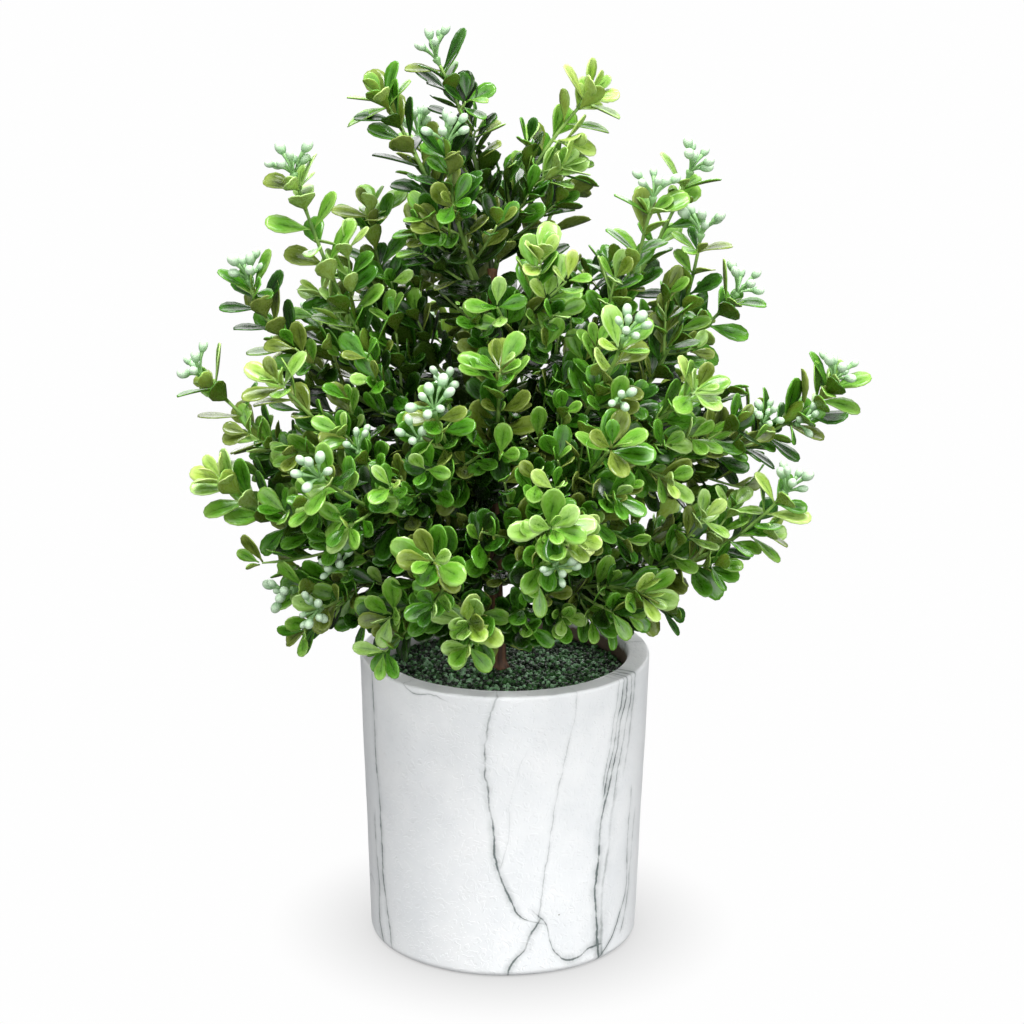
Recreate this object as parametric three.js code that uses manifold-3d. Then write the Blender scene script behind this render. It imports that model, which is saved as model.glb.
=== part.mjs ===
// A moulded boxwood shrub in a round cast pot.
// Millimetres, +Z up; the origin is the middle of the pot's flat underside.
import * as THREE from "three";
import { mergeVertices } from "three/addons/utils/BufferGeometryUtils.js";
import Module from "manifold-3d";

const wasm = await Module();
wasm.setup();

// Pot
const POT_HEIGHT = 122.5;
const POT_TOP_RADIUS = 60;
const POT_FOOT_RADIUS = 56;
const POT_WALL = 9;
const POT_FLOOR = 9;
const RIM_ROUNDING = 1.8;
const FOOT_ROUNDING = 3;
const POT_SIDES = 36;

// Clearance between pieces that touch, and the size of slivers that joining leaves and that go
const GAP = 0.3;
const CLEARANCE_EASE = 1.12;
const SCRAP_SIZE = 0.01;

// Filling and its granules
const FILL_TOP = 113.5;
const FILL_EDGE_ROUNDING = 2;
const GRANULE_COUNT = 26;
const GRANULE_RADIUS = 2.4;
const GRANULE_SMALLEST = 0.85;
const GRANULE_SIZE_CHANGE = 0.35;
const GRANULE_FIELD_RADIUS = 45.5;
const GRANULE_SUNK = 0.45;
const GRANULE_SEED = 3;
const TRUNK_SEAT_RADIUS = 9;

// Trunk
const TRUNK_AXIS_X = -6;
const TRUNK_AXIS_Y = 3;
const TRUNK_FOOT_X = -2;
const TRUNK_TIP_Z = 282;
const TRUNK_FOOT_RADIUS = 3.1;
const TRUNK_TIP_RADIUS = 1.9;
const TRUNK_FLARE = 1.8;
const TRUNK_FLARE_HEIGHT = 9;
const TRUNK_BEND = 0.35;
const TRUNK_CUT_ALLOWANCE = 2;
const TRUNK_SIDES = 10;
const TRUNK_RINGS = 8;

// Boughs, stems and twigs
const BOUGH_ROOT_RADIUS = 1.6;
const BOUGH_TIP_RADIUS = 1.15;
const BOUGH_SIDES = 5;
const BOUGH_RINGS = 3;
const STEM_ROOT_RADIUS = 1.15;
const STEM_TIP_RADIUS = 0.75;
const STEM_RINGS = 3;
const LONG_STEM = 88;
const TWIG_ROOT_RADIUS = 0.85;
const TWIG_TIP_RADIUS = 0.6;
const TWIG_LENGTH = 34;
const TWIG_SHORTENING = 0.45;
const TWIG_SPREAD = 0.8;
const TWIG_TURN = 2.4;
const TWIG_RISE = 0.12;
const TWIG_BARE_SHARE = 0.3;
const TWIG_RINGS = 2;
const TWIG_TRIES = 6;

// Where twigs leave a stem, as shares of its length
const LONG_STEM_TWIGS = [0.22, 0.42, 0.62];
const SHORT_STEM_TWIGS = [0.3, 0.6];

// Leaves and buds, larger than the real 18 by 8 mm because there are fewer of them
const LEAF_LENGTH = 32;
const LEAF_WIDTH = 16.5;
const LEAF_WIDEST = 0.6;
const LEAF_TIP_WIDTH = 7.5;
const LEAF_RIB = 1.1;
const LEAF_RIB_PLACE = 0.16;
const LEAF_LIFT = 1.2;
const LEAF_ROOT_LIFT = 0.12;
const LEAF_ROOT_PAST_MIDDLE = 0.1;
const LEAF_SPACING = 22.5;
const LEAF_IN_STEP = 0.5;
const TIP_LEAF_IN_STEP = 0.8;
const LEAF_SIZE_CHANGE = 0.1;
const LEAF_TILT_CHANGE = 0.3;
const LEAF_TURN_CHANGE = 0.5;
const LEAF_TILT = 0.95;
const TIP_LEAF_TILT = 0.45;
const TIP_LEAF_SIZE = 0.64;
const LEAF_GAP = 0.2;
const LEAF_TRIES = 5;
const LEAF_TILT_BIAS = 0.4;
const LEAF_TILT_GROWTH = 0.7;
const BUD_LENGTH = 9;
const BUD_WIDTH = 6;
const BUD_OFFSET = 3;
const TIP_BUD_FORWARD = 1;
const SIDE_BUD_BACK = 2;
const SIDE_BUD_LEAN = 0.6;

// How far the leaves at a shoot's end reach past its stem
const LEAF_TIP_ALLOWANCE = 14;

// The foliage ends this far up, a little above the rim
const SKIRT_HEIGHT = 132;

// Room kept between one mass and the next, and between leaves and limbs
const CELL_MARGIN = 0.8;
const LIMB_MARGIN = 0.7;

// The seeded numbers that the twigs and leaves follow
const GROWTH_SEED = 3;
const SEED_STEP = 7919;
const RANDOM_FACTOR = 1103515245;
const RANDOM_STEP = 12345;
const RANDOM_RANGE = 2147483648;

// Share of a shoot's length that is bare bough before its foliage starts, and the share without
// leaves where the stem springs straight from the trunk
const BARE_SHARE = 0.36;
const LEAFLESS_SHARE = 0.2;

// Each shoot: its name, its side in degrees round the trunk, its reach from it, the height of its
// tip and of its root, how far along its knee lies and how far above the straight line, what ends
// it, and its green
const SHOOTS = [
  ["crown_top", 164, 26, 369, 276, 0.1, 3, "buds", "dark"],
  ["crown_left", 183, 49, 359, 258, 0.55, 8, "leaves", "dark"],
  ["crown_right", 8, 46, 359, 274, 0.1, -1, "leaves", "lime"],
  ["crown_front", 242, 38, 342, 264, 0.85, -2, "buds", "dark"],
  ["crown_back_left", 128, 52, 334, 250, 0.5, -10, "buds", "olive"],
  ["crown_back_right", 52, 50, 322, 256, 0.5, -9, "leaves", "olive"],
  ["upper_left", 196, 82, 328, 206, 0.57, -26, "buds", "fresh"],
  ["upper_left_inner", 172, 50, 314, 226, 0.9, -12, "leaves", "dark"],
  ["upper_middle", 294, 52, 304, 234, 0.5, -8, "leaves", "lime"],
  ["upper_right", 353, 80, 328, 228, 0.6, -17, "buds", "mid"],
  ["upper_right_front", 331, 72, 322, 216, 0.75, -15, "buds", "mid"],
  ["left_high", 187, 98, 284, 198, 0.92, 2, "buds", "dark"],
  ["left_far", 189, 120, 245, 172, 0.42, -20, "buds", "mid"],
  ["left_front", 206, 99, 252, 184, 0.35, -20, "leaves", "mid"],
  ["left_low", 196, 119, 210, 142, 0.66, -3, "leaves", "lime"],
  ["left_bottom", 200, 90, 155, 134, 0.5, 8, "buds", "mid"],
  ["front_left_high", 229, 103, 218, 168, 0.5, -6, "buds", "mid"],
  ["front_left", 256, 102, 190, 150, 0.5, 2, "leaves", "dark"],
  ["front_left_bottom", 232, 76, 151, 130, 0.5, 8, "leaves", "mid"],
  ["middle_left", 254, 81, 246, 190, 0.5, -10, "buds", "dark"],
  ["middle_front", 273, 70, 266, 206, 0.55, -14, "leaves", "dark"],
  ["front_bottom", 263, 85, 156, 126, 0.5, 8, "leaves", "lime"],
  ["front", 283, 114, 207, 160, 0.5, 2, "leaves", "mid"],
  ["middle_right", 300, 100, 237, 176, 0.5, -8, "leaves", "dark"],
  ["front_right_high", 309, 83, 273, 198, 0.6, -14, "buds", "mid"],
  ["right_upper", 343, 86, 306, 206, 0.82, -26, "buds", "dark"],
  ["right_front", 328, 102, 252, 192, 0.5, -8, "leaves", "mid"],
  ["right_high", 5, 102, 275, 248, 0.68, -15, "buds", "dark"],
  ["right_far", 357, 140, 243, 184, 0.86, -3, "buds", "mid"],
  ["right_low", 346, 124, 202, 152, 0.65, -15, "buds", "mid"],
  ["right_bottom", 324, 86, 158, 136, 0.5, 8, "leaves", "mid"],
  ["back_left", 142, 94, 252, 192, 0.5, -12, "buds", "mid"],
  ["back_middle", 100, 98, 270, 196, 0.5, -10, "buds", "mid"],
  ["back_right", 38, 110, 256, 188, 0.5, -10, "leaves", "mid"],
  ["back_left_low", 138, 94, 170, 140, 0.5, 5, "leaves", "mid"],
  ["back_low", 92, 90, 168, 134, 0.5, 6, "buds", "fresh"],
  ["back_right_low", 36, 96, 160, 130, 0.5, 7, "buds", "mid"],
];

// Shoots whose stem springs straight from the trunk, with no bare bough of its own
const SHORT_SHOOTS = [
  "crown_top", "crown_left", "crown_right", "crown_front", "crown_back_left", "crown_back_right",
  "upper_left_inner", "upper_middle", "middle_front", "front_bottom", "front_left_bottom",
  "left_bottom", "middle_left", "back_left_low", "right_bottom", "upper_right_front", "front_left",
];

// Colours
const COLOURS = {
  pot: 0xe4e5e5,
  filling: 0x335030,
  trunk: 0x6b4a2c,
  bough: 0x6f8f3e,
  dark: 0x3c5f1e,
  mid: 0x577a32,
  fresh: 0x84a848,
  lime: 0x9cc24c,
  olive: 0x5f7034,
};

const UP = new THREE.Vector3(0, 0, 1);
const group = new THREE.Group();

function material(colour, roughness) {
  return new THREE.MeshStandardMaterial({ color: colour, roughness, metalness: 0 });
}

function addMesh(name, geometry, colour, roughness) {
  const mesh = new THREE.Mesh(geometry, material(colour, roughness));
  mesh.name = name;
  group.add(mesh);
}

// The same numbers come in the same order for the same seed
function seededRandom(seed) {
  let state = seed * SEED_STEP + RANDOM_STEP;
  return () => {
    state = (state * RANDOM_FACTOR + RANDOM_STEP) % RANDOM_RANGE;
    return state / RANDOM_RANGE;
  };
}

function toSolid(geometry) {
  const bare = geometry.clone();
  bare.deleteAttribute("normal");
  bare.deleteAttribute("uv");
  const merged = mergeVertices(bare, 1e-4);
  const mesh = new wasm.Mesh({
    numProp: 3,
    vertProperties: new Float32Array(merged.attributes.position.array),
    triVerts: new Uint32Array(merged.index.array),
  });
  return new wasm.Manifold(mesh);
}

function toGeometry(solid) {
  const mesh = solid.getMesh();
  const geometry = new THREE.BufferGeometry();
  geometry.setAttribute("position", new THREE.BufferAttribute(mesh.vertProperties, 3));
  geometry.setIndex(new THREE.BufferAttribute(mesh.triVerts, 1));
  geometry.computeVertexNormals();
  return geometry;
}

// Half the difference of the pot's widths is spread evenly over its height
function innerRadiusAt(z) {
  const slope = (POT_TOP_RADIUS - POT_FOOT_RADIUS) / POT_HEIGHT;
  return POT_FOOT_RADIUS + slope * z - POT_WALL;
}

function addArc(profile, centreX, centreY, radius, from, to, steps) {
  for (let i = 0; i <= steps; i += 1) {
    const angle = THREE.MathUtils.degToRad(from + ((to - from) * i) / steps);
    const x = centreX + radius * Math.cos(angle);
    const y = centreY + radius * Math.sin(angle);
    profile.push(new THREE.Vector2(x, y));
  }
}

function turned(profile) {
  const geometry = new THREE.LatheGeometry(profile, POT_SIDES);
  geometry.rotateX(Math.PI / 2);
  return geometry;
}

function potGeometry() {
  const profile = [new THREE.Vector2(0, 0)];
  addArc(profile, POT_FOOT_RADIUS - FOOT_ROUNDING, FOOT_ROUNDING, FOOT_ROUNDING, -90, 0, 3);
  const rimY = POT_HEIGHT - RIM_ROUNDING;
  addArc(profile, POT_TOP_RADIUS - RIM_ROUNDING, rimY, RIM_ROUNDING, 0, 90, 3);
  addArc(profile, innerRadiusAt(POT_HEIGHT) + RIM_ROUNDING, rimY, RIM_ROUNDING, 90, 180, 3);
  profile.push(new THREE.Vector2(innerRadiusAt(POT_FLOOR), POT_FLOOR));
  profile.push(new THREE.Vector2(0, POT_FLOOR));
  return turned(profile);
}

function fillingBase() {
  const bottom = POT_FLOOR + GAP;
  const edge = innerRadiusAt(FILL_TOP) - GAP;
  const profile = [new THREE.Vector2(0, bottom)];
  profile.push(new THREE.Vector2(innerRadiusAt(bottom) - GAP, bottom));
  const centreX = edge - FILL_EDGE_ROUNDING;
  addArc(profile, centreX, FILL_TOP - FILL_EDGE_ROUNDING, FILL_EDGE_ROUNDING, 0, 90, 2);
  profile.push(new THREE.Vector2(0, FILL_TOP));
  return toSolid(turned(profile));
}

// Granules lie in a spiral of even density, some larger than others, clear of the trunk's seat
function granules() {
  const random = seededRandom(GRANULE_SEED);
  const turn = Math.PI * (3 - Math.sqrt(5));
  const found = [];
  for (let i = 0; i < GRANULE_COUNT; i += 1) {
    const distance = GRANULE_FIELD_RADIUS * Math.sqrt((i + 0.5) / GRANULE_COUNT);
    const x = distance * Math.cos(i * turn);
    const y = distance * Math.sin(i * turn);
    const radius = GRANULE_RADIUS * (GRANULE_SMALLEST + GRANULE_SIZE_CHANGE * random());
    const spin = random() * Math.PI;
    const seat = Math.hypot(x - TRUNK_FOOT_X, y - TRUNK_AXIS_Y);
    if (seat < TRUNK_SEAT_RADIUS + radius) continue;
    const ball = new THREE.IcosahedronGeometry(radius, 0);
    ball.rotateX(spin);
    ball.translate(x, y, FILL_TOP - radius * GRANULE_SUNK);
    found.push(toSolid(ball));
  }
  return found;
}

function fillingGeometry() {
  return toGeometry(wasm.Manifold.union([fillingBase(), ...granules()]));
}

// A frame across a direction: two unit vectors square to it
function frameAcross(direction) {
  const reference = Math.abs(direction.z) > 0.95 ? new THREE.Vector3(1, 0, 0) : UP;
  const across = new THREE.Vector3().crossVectors(direction, reference).normalize();
  const over = new THREE.Vector3().crossVectors(across, direction).normalize();
  return { across, over };
}

// A capped cylinder bent along a curve and tapered by a radius rule
function limbGeometry(curve, from, to, radiusAt, sides, rings) {
  const geometry = new THREE.CylinderGeometry(1, 1, 1, sides, rings);
  const position = geometry.attributes.position;
  const vertex = new THREE.Vector3();
  for (let i = 0; i < position.count; i += 1) {
    vertex.fromBufferAttribute(position, i);
    const share = vertex.y + 0.5;
    const along = from + (to - from) * share;
    const centre = curve.getPoint(along);
    const { across, over } = frameAcross(curve.getTangent(along));
    const radius = radiusAt(share);
    centre.addScaledVector(across, vertex.x * radius);
    centre.addScaledVector(over, vertex.z * radius);
    position.setXYZ(i, centre.x, centre.y, centre.z);
  }
  return geometry;
}

// A limb is straight between its rings, and this is its middle there
function middleOf(limb, share) {
  const step = Math.min(Math.floor(share * limb.rings), limb.rings - 1);
  const at = (ring) => limb.curve.getPoint(limb.from + ((1 - limb.from) * ring) / limb.rings);
  return at(step).lerp(at(step + 1), share * limb.rings - step);
}

function taper(rootRadius, tipRadius) {
  return (share) => rootRadius + (tipRadius - rootRadius) * share;
}

function trunkCurve() {
  const foot = new THREE.Vector3(TRUNK_FOOT_X, TRUNK_AXIS_Y, FILL_TOP - TRUNK_CUT_ALLOWANCE);
  const tip = new THREE.Vector3(TRUNK_AXIS_X, TRUNK_AXIS_Y, TRUNK_TIP_Z);
  const bendZ = foot.z + (tip.z - foot.z) * TRUNK_BEND;
  const bend = new THREE.Vector3(TRUNK_AXIS_X, TRUNK_AXIS_Y, bendZ);
  return new THREE.QuadraticBezierCurve3(foot, bend, tip);
}

const trunkLine = trunkCurve();

// The foot is cut off level, just above the filling
function trunkSolid(growth) {
  const height = TRUNK_TIP_Z - FILL_TOP;
  const radiusAt = (share) => {
    const plain = TRUNK_FOOT_RADIUS + (TRUNK_TIP_RADIUS - TRUNK_FOOT_RADIUS) * share;
    const flare = TRUNK_FLARE * Math.max(0, 1 - (share * height) / TRUNK_FLARE_HEIGHT) ** 2;
    return plain + flare + growth;
  };
  const geometry = limbGeometry(trunkLine, 0, 1, radiusAt, TRUNK_SIDES, TRUNK_RINGS);
  return toSolid(geometry).trimByPlane([0, 0, 1], FILL_TOP + GAP - growth);
}

// The trunk and the clearance round it, which also reaches past its tip
function trunkWithClearance() {
  const radius = TRUNK_TIP_RADIUS + 1.5 * GAP;
  const cap = new THREE.CylinderGeometry(radius, radius, 3 * GAP, TRUNK_SIDES);
  cap.rotateX(Math.PI / 2);
  cap.translate(TRUNK_AXIS_X, TRUNK_AXIS_Y, TRUNK_TIP_Z);
  return trunkSolid(GAP).add(toSolid(cap));
}

function trunkPointAt(z) {
  let low = 0;
  let high = 1;
  for (let i = 0; i < 30; i += 1) {
    const middle = (low + high) / 2;
    if (trunkLine.getPoint(middle).z < z) low = middle;
    else high = middle;
  }
  return trunkLine.getPoint(low);
}

// A shoot's whole line, from the trunk's middle to its tip
function shootCurve(shoot) {
  const angle = THREE.MathUtils.degToRad(shoot.side);
  const start = trunkPointAt(shoot.root);
  const tip = new THREE.Vector3(
    TRUNK_AXIS_X + shoot.reach * Math.cos(angle),
    TRUNK_AXIS_Y + shoot.reach * Math.sin(angle),
    shoot.tip,
  );
  const middle = start.clone().lerp(tip, shoot.knee);
  middle.z = (start.z + tip.z) / 2 + 2 * shoot.arch;
  const heading = tip.clone().sub(middle).normalize();
  if (shoot.end === "leaves") tip.addScaledVector(heading, -LEAF_TIP_ALLOWANCE);
  return new THREE.QuadraticBezierCurve3(start, middle, tip);
}

const shoots = SHOOTS.map(([name, side, reach, tip, root, knee, arch, end, tone], index) => {
  const row = { name, side, reach, tip, root, knee, arch, end, tone };
  const curve = shootCurve(row);
  const short = SHORT_SHOOTS.includes(name);
  return { ...row, index, curve, bare: short ? 0 : BARE_SHARE, line: curve.getPoints(16) };
});

// Distance from a point to a line of points
const nearest = new THREE.Vector3();
const segment = new THREE.Line3();
function distanceToLine(point, line) {
  let best = Infinity;
  for (let i = 1; i < line.length; i += 1) {
    segment.set(line[i - 1], line[i]);
    segment.closestPointToPoint(point, true, nearest);
    best = Math.min(best, nearest.distanceTo(point));
  }
  return best;
}

// A point is in a shoot's own space when every other shoot's line is farther off
function inOwnSpace(point, shoot) {
  const own = distanceToLine(point, shoot.line);
  return shoots.every((other) => {
    if (other === shoot) return true;
    const distance = distanceToLine(point, other.line);
    return distance > own + CELL_MARGIN && distance > BOUGH_ROOT_RADIUS + LIMB_MARGIN;
  });
}

const trunkPoints = trunkLine.getPoints(24);
function clearOfTrunkAndPot(point) {
  const toTrunk = distanceToLine(point, trunkPoints);
  const overPot = point.z > SKIRT_HEIGHT;
  return toTrunk > TRUNK_FOOT_RADIUS + TRUNK_FLARE + LIMB_MARGIN && overPot;
}

// A leaf's outline: its root, its widest place and its blunt tip
function leafOutline() {
  const halfTip = LEAF_TIP_WIDTH / 2;
  const halfWidth = LEAF_WIDTH / 2;
  const widest = LEAF_LENGTH * LEAF_WIDEST;
  return [[0, 0], [widest, -halfWidth], [LEAF_LENGTH, -halfTip], [LEAF_LENGTH, halfTip], [widest, halfWidth]];
}

// A leaf's own axes: along it from root to tip, across it, and out of its upper face
function placeInLeaf(root, axes, along, across, out) {
  const point = root.clone();
  point.addScaledVector(axes.along, along);
  point.addScaledVector(axes.across, across);
  point.addScaledVector(axes.out, out);
  return point;
}

// The blade is a shallow dish with a rib below it near the root, which lies in the stem's middle
function leafCorners(stemPoint, axes, size) {
  const root = stemPoint.clone().addScaledVector(axes.along, -LEAF_ROOT_PAST_MIDDLE);
  const corners = leafOutline().map(([x, y]) => {
    const lift = LEAF_LIFT * size * (x / LEAF_LENGTH);
    return placeInLeaf(root, axes, x * size, y * size, lift);
  });
  const rib = placeInLeaf(root, axes, LEAF_LENGTH * LEAF_RIB_PLACE * size, 0, -LEAF_RIB * size);
  const top = placeInLeaf(root, axes, LEAF_LENGTH * LEAF_RIB_PLACE * size, 0, LEAF_ROOT_LIFT);
  return { corners, rib, top };
}

// A cone whose rim is moved out to the outline, its point to the rib
function leafSolid({ corners, rib, top }) {
  const cone = new THREE.ConeGeometry(1, 1, corners.length, 1);
  const position = cone.attributes.position;
  for (let i = 0; i < position.count; i += 1) {
    const x = position.getX(i);
    const z = position.getZ(i);
    const isMiddle = Math.hypot(x, z) < 0.5;
    const turn = (Math.atan2(x, z) * corners.length) / (2 * Math.PI);
    let place = corners[(corners.length - Math.round(turn)) % corners.length];
    if (isMiddle) place = position.getY(i) > 0 ? rib : top;
    position.setXYZ(i, place.x, place.y, place.z);
  }
  return toSolid(cone);
}

function leafAxes(direction, turn, tilt) {
  const { across, over } = frameAcross(direction);
  const outward = across.clone().multiplyScalar(Math.cos(turn)).addScaledVector(over, Math.sin(turn));
  const along = direction.clone().multiplyScalar(Math.cos(tilt)).addScaledVector(outward, Math.sin(tilt));
  const out = direction.clone().multiplyScalar(Math.sin(tilt)).addScaledVector(outward, -Math.cos(tilt));
  return { along, out, across: new THREE.Vector3().crossVectors(out, along).normalize() };
}

function leafFits(leaf, shoot) {
  const points = leaf.corners.slice(1);
  return points.every((point) => inOwnSpace(point, shoot) && clearOfTrunkAndPot(point));
}

// A limb of a mass: a curve from its bare start to its tip, with the solid it makes
function makeLimb(curve, from, rings, bare, rootRadius, tipRadius) {
  const length = curve.getLength() * (1 - from);
  const radiusAt = taper(rootRadius, tipRadius);
  const solid = toSolid(limbGeometry(curve, from, 1, radiusAt, 3, rings));
  return { curve, from, rings, bare, length, solid };
}

// A leaf is kept when it meets nothing in its mass but its own limb and the leaf opposite it
function leafIsFree(solid, neighbours) {
  return neighbours.every((other) => solid.minGap(other, LEAF_GAP) >= LEAF_GAP);
}

// A leaf that doesn't fit is turned and tilted a few times before it is skipped
function growLeaf(mass, limb, place, side, random) {
  const neighbours = mass.solids.filter((solid) => solid !== limb.solid && solid !== place.opposite);
  for (let tries = 0; tries < LEAF_TRIES; tries += 1) {
    const change = LEAF_TILT_CHANGE * (1 + tries * LEAF_TILT_GROWTH);
    const tilt = place.tilt + change * (random() - LEAF_TILT_BIAS);
    const turn = place.turn + side + LEAF_TURN_CHANGE * (random() - 0.5) * tries;
    const size = place.size * (1 + LEAF_SIZE_CHANGE * (random() - 0.5));
    const leaf = leafCorners(place.root, leafAxes(place.direction, turn, tilt), size);
    if (!leafFits(leaf, mass.shoot)) continue;
    const solid = leafSolid(leaf);
    if (leafIsFree(solid, neighbours)) return solid;
  }
  return null;
}

// Pairs of leaves along a limb, each pair square to the last, closing up towards the tip
function addLeaves(mass, limb, budded, random) {
  const pairs = Math.max(2, Math.round((limb.length * (1 - limb.bare)) / LEAF_SPACING));
  let turn = random() * Math.PI;
  for (let i = 0; i < pairs; i += 1) {
    const atTip = i === pairs - 1;
    const inStep = atTip && !budded ? TIP_LEAF_IN_STEP : LEAF_IN_STEP;
    const share = limb.bare + ((1 - limb.bare) * (i + inStep)) / pairs;
    const place = {
      root: middleOf(limb, share),
      direction: limb.curve.getTangent(limb.from + (1 - limb.from) * share),
      tilt: LEAF_TILT + (TIP_LEAF_TILT - LEAF_TILT) * share ** 2,
      size: 1 + (TIP_LEAF_SIZE - 1) * share,
      turn,
      opposite: null,
    };
    for (const side of [0, Math.PI]) {
      const solid = growLeaf(mass, limb, place, side, random);
      if (!solid) continue;
      mass.solids.push(solid);
      place.opposite = solid;
    }
    turn += Math.PI / 2;
  }
}

function twigCurve(root, direction, turn, length) {
  const { across, over } = frameAcross(direction);
  const outward = across.multiplyScalar(Math.cos(turn)).addScaledVector(over, Math.sin(turn));
  const heading = direction.clone().multiplyScalar(Math.cos(TWIG_SPREAD));
  heading.addScaledVector(outward, Math.sin(TWIG_SPREAD)).normalize();
  const middle = root.clone().addScaledVector(heading, length / 2);
  const tip = middle.clone().addScaledVector(heading, length / 2);
  tip.addScaledVector(direction, length * TWIG_RISE);
  return new THREE.QuadraticBezierCurve3(root, middle, tip);
}

function twigFits(curve, shoot) {
  const points = curve.getPoints(6).slice(1);
  return points.every((point) => inOwnSpace(point, shoot) && clearOfTrunkAndPot(point));
}

function budSolid(centre, direction) {
  const bud = new THREE.OctahedronGeometry(1, 0);
  bud.scale(BUD_WIDTH / 2, BUD_LENGTH / 2, BUD_WIDTH / 2);
  bud.applyQuaternion(new THREE.Quaternion().setFromUnitVectors(new THREE.Vector3(0, 1, 0), direction));
  bud.translate(centre.x, centre.y, centre.z);
  return toSolid(bud);
}

// One bud on the tip and one on each side of it, all grown together
function budCluster(curve) {
  const tip = curve.getPoint(1);
  const direction = curve.getTangent(1);
  const buds = [budSolid(tip.clone().addScaledVector(direction, TIP_BUD_FORWARD), direction)];
  const { across, over } = frameAcross(direction);
  for (const turn of [0, Math.PI]) {
    const outward = across.clone().multiplyScalar(Math.cos(turn)).addScaledVector(over, Math.sin(turn));
    const centre = tip.clone().addScaledVector(direction, -SIDE_BUD_BACK);
    centre.addScaledVector(outward, BUD_OFFSET);
    const lean = direction.clone().addScaledVector(outward, SIDE_BUD_LEAN).normalize();
    buds.push(budSolid(centre, lean));
  }
  return wasm.Manifold.union(buds);
}

// Side twigs leave the stem in turn round it; one that would leave the shoot's space is skipped
function addTwigs(mass, stem, random) {
  const shares = stem.length > LONG_STEM ? LONG_STEM_TWIGS : SHORT_STEM_TWIGS;
  const twigs = [];
  let turn = random() * Math.PI * 2;
  for (const share of shares) {
    const root = middleOf(stem, share);
    const direction = stem.curve.getTangent(stem.from + (1 - stem.from) * share);
    const length = TWIG_LENGTH * (1.05 - TWIG_SHORTENING * share);
    for (let tries = 0; tries < TWIG_TRIES; tries += 1) {
      const curve = twigCurve(root, direction, turn, length);
      turn += TWIG_TURN;
      if (!twigFits(curve, mass.shoot)) continue;
      const twig = makeLimb(curve, 0, TWIG_RINGS, TWIG_BARE_SHARE, TWIG_ROOT_RADIUS, TWIG_TIP_RADIUS);
      mass.solids.push(twig.solid);
      twigs.push(twig);
      break;
    }
  }
  return twigs;
}

// The place on a line that lies one clearance beyond another
function pastClearance(curve, from) {
  const step = 0.001;
  const speed = curve.getPoint(from).distanceTo(curve.getPoint(from + step)) / step;
  return from + (CLEARANCE_EASE * GAP) / speed;
}

// A scrap cut loose by the clearance is dropped
function largestPiece(solid) {
  const pieces = solid.decompose();
  pieces.sort((a, b) => b.volume() - a.volume());
  return pieces[0];
}

const clearance = trunkWithClearance();

function massGeometry(shoot) {
  const random = seededRandom(shoot.index + GROWTH_SEED);
  const start = shoot.bare > 0 ? pastClearance(shoot.curve, shoot.bare) : 0;
  const bare = shoot.bare > 0 ? 0 : LEAFLESS_SHARE;
  const stem = makeLimb(shoot.curve, start, STEM_RINGS, bare, STEM_ROOT_RADIUS, STEM_TIP_RADIUS);
  const mass = { shoot, solids: [stem.solid] };
  const budded = shoot.end === "buds";
  if (budded) mass.solids.push(budCluster(shoot.curve));
  const twigs = addTwigs(mass, stem, random);
  addLeaves(mass, stem, budded, random);
  for (const twig of twigs) addLeaves(mass, twig, false, random);
  const solid = wasm.Manifold.union(mass.solids).subtract(clearance).simplify(SCRAP_SIZE);
  return toGeometry(largestPiece(solid));
}

function boughGeometry(shoot) {
  const radiusAt = taper(BOUGH_ROOT_RADIUS, BOUGH_TIP_RADIUS);
  const geometry = limbGeometry(shoot.curve, 0, shoot.bare, radiusAt, BOUGH_SIDES, BOUGH_RINGS);
  return toGeometry(toSolid(geometry).subtract(clearance));
}

addMesh("pot", potGeometry(), COLOURS.pot, 0.85);
addMesh("pot_filling", fillingGeometry(), COLOURS.filling, 0.8);
addMesh("trunk", toGeometry(trunkSolid(0)), COLOURS.trunk, 0.7);
for (const shoot of shoots) {
  if (shoot.bare > 0) addMesh(`bough_${shoot.name}`, boughGeometry(shoot), COLOURS.bough, 0.55);
  addMesh(`foliage_${shoot.name}`, massGeometry(shoot), COLOURS[shoot.tone], 0.5);
}

export default group;
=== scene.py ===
import math

import bpy
import numpy as np
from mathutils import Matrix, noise


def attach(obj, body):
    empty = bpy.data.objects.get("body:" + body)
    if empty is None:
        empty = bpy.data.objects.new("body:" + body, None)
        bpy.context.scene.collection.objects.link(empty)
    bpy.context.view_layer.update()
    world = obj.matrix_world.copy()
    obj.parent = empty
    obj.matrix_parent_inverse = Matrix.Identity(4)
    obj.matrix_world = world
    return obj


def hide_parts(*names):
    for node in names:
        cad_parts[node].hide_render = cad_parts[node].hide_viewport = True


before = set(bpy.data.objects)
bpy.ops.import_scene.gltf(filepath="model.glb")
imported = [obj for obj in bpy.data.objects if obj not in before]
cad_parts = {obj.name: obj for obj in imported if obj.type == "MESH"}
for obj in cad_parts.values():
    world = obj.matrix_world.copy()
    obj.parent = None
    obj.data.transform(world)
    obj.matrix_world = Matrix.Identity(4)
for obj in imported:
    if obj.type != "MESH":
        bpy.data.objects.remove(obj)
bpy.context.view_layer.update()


# Camera: a long lens a little above the rim, square to the front. Lens and sensor in mm, place in
# metres and turns in degrees, all worked out from the round of the pot's rim and its sides.
CAMERA_LENS = 101.63
CAMERA_SENSOR = 36
CAMERA_PLACE = (0, -1.13647, 0.5076)
CAMERA_TURNS = (73.9941, -0.4003, -0.0138)
camera_data = bpy.data.cameras.new("camera")
camera_data.lens = CAMERA_LENS
camera_data.sensor_width = CAMERA_SENSOR
camera = bpy.data.objects.new("camera", camera_data)
camera.location = CAMERA_PLACE
camera.rotation_euler = [math.radians(turn) for turn in CAMERA_TURNS]
bpy.context.collection.objects.link(camera)
bpy.context.scene.camera = camera


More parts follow.
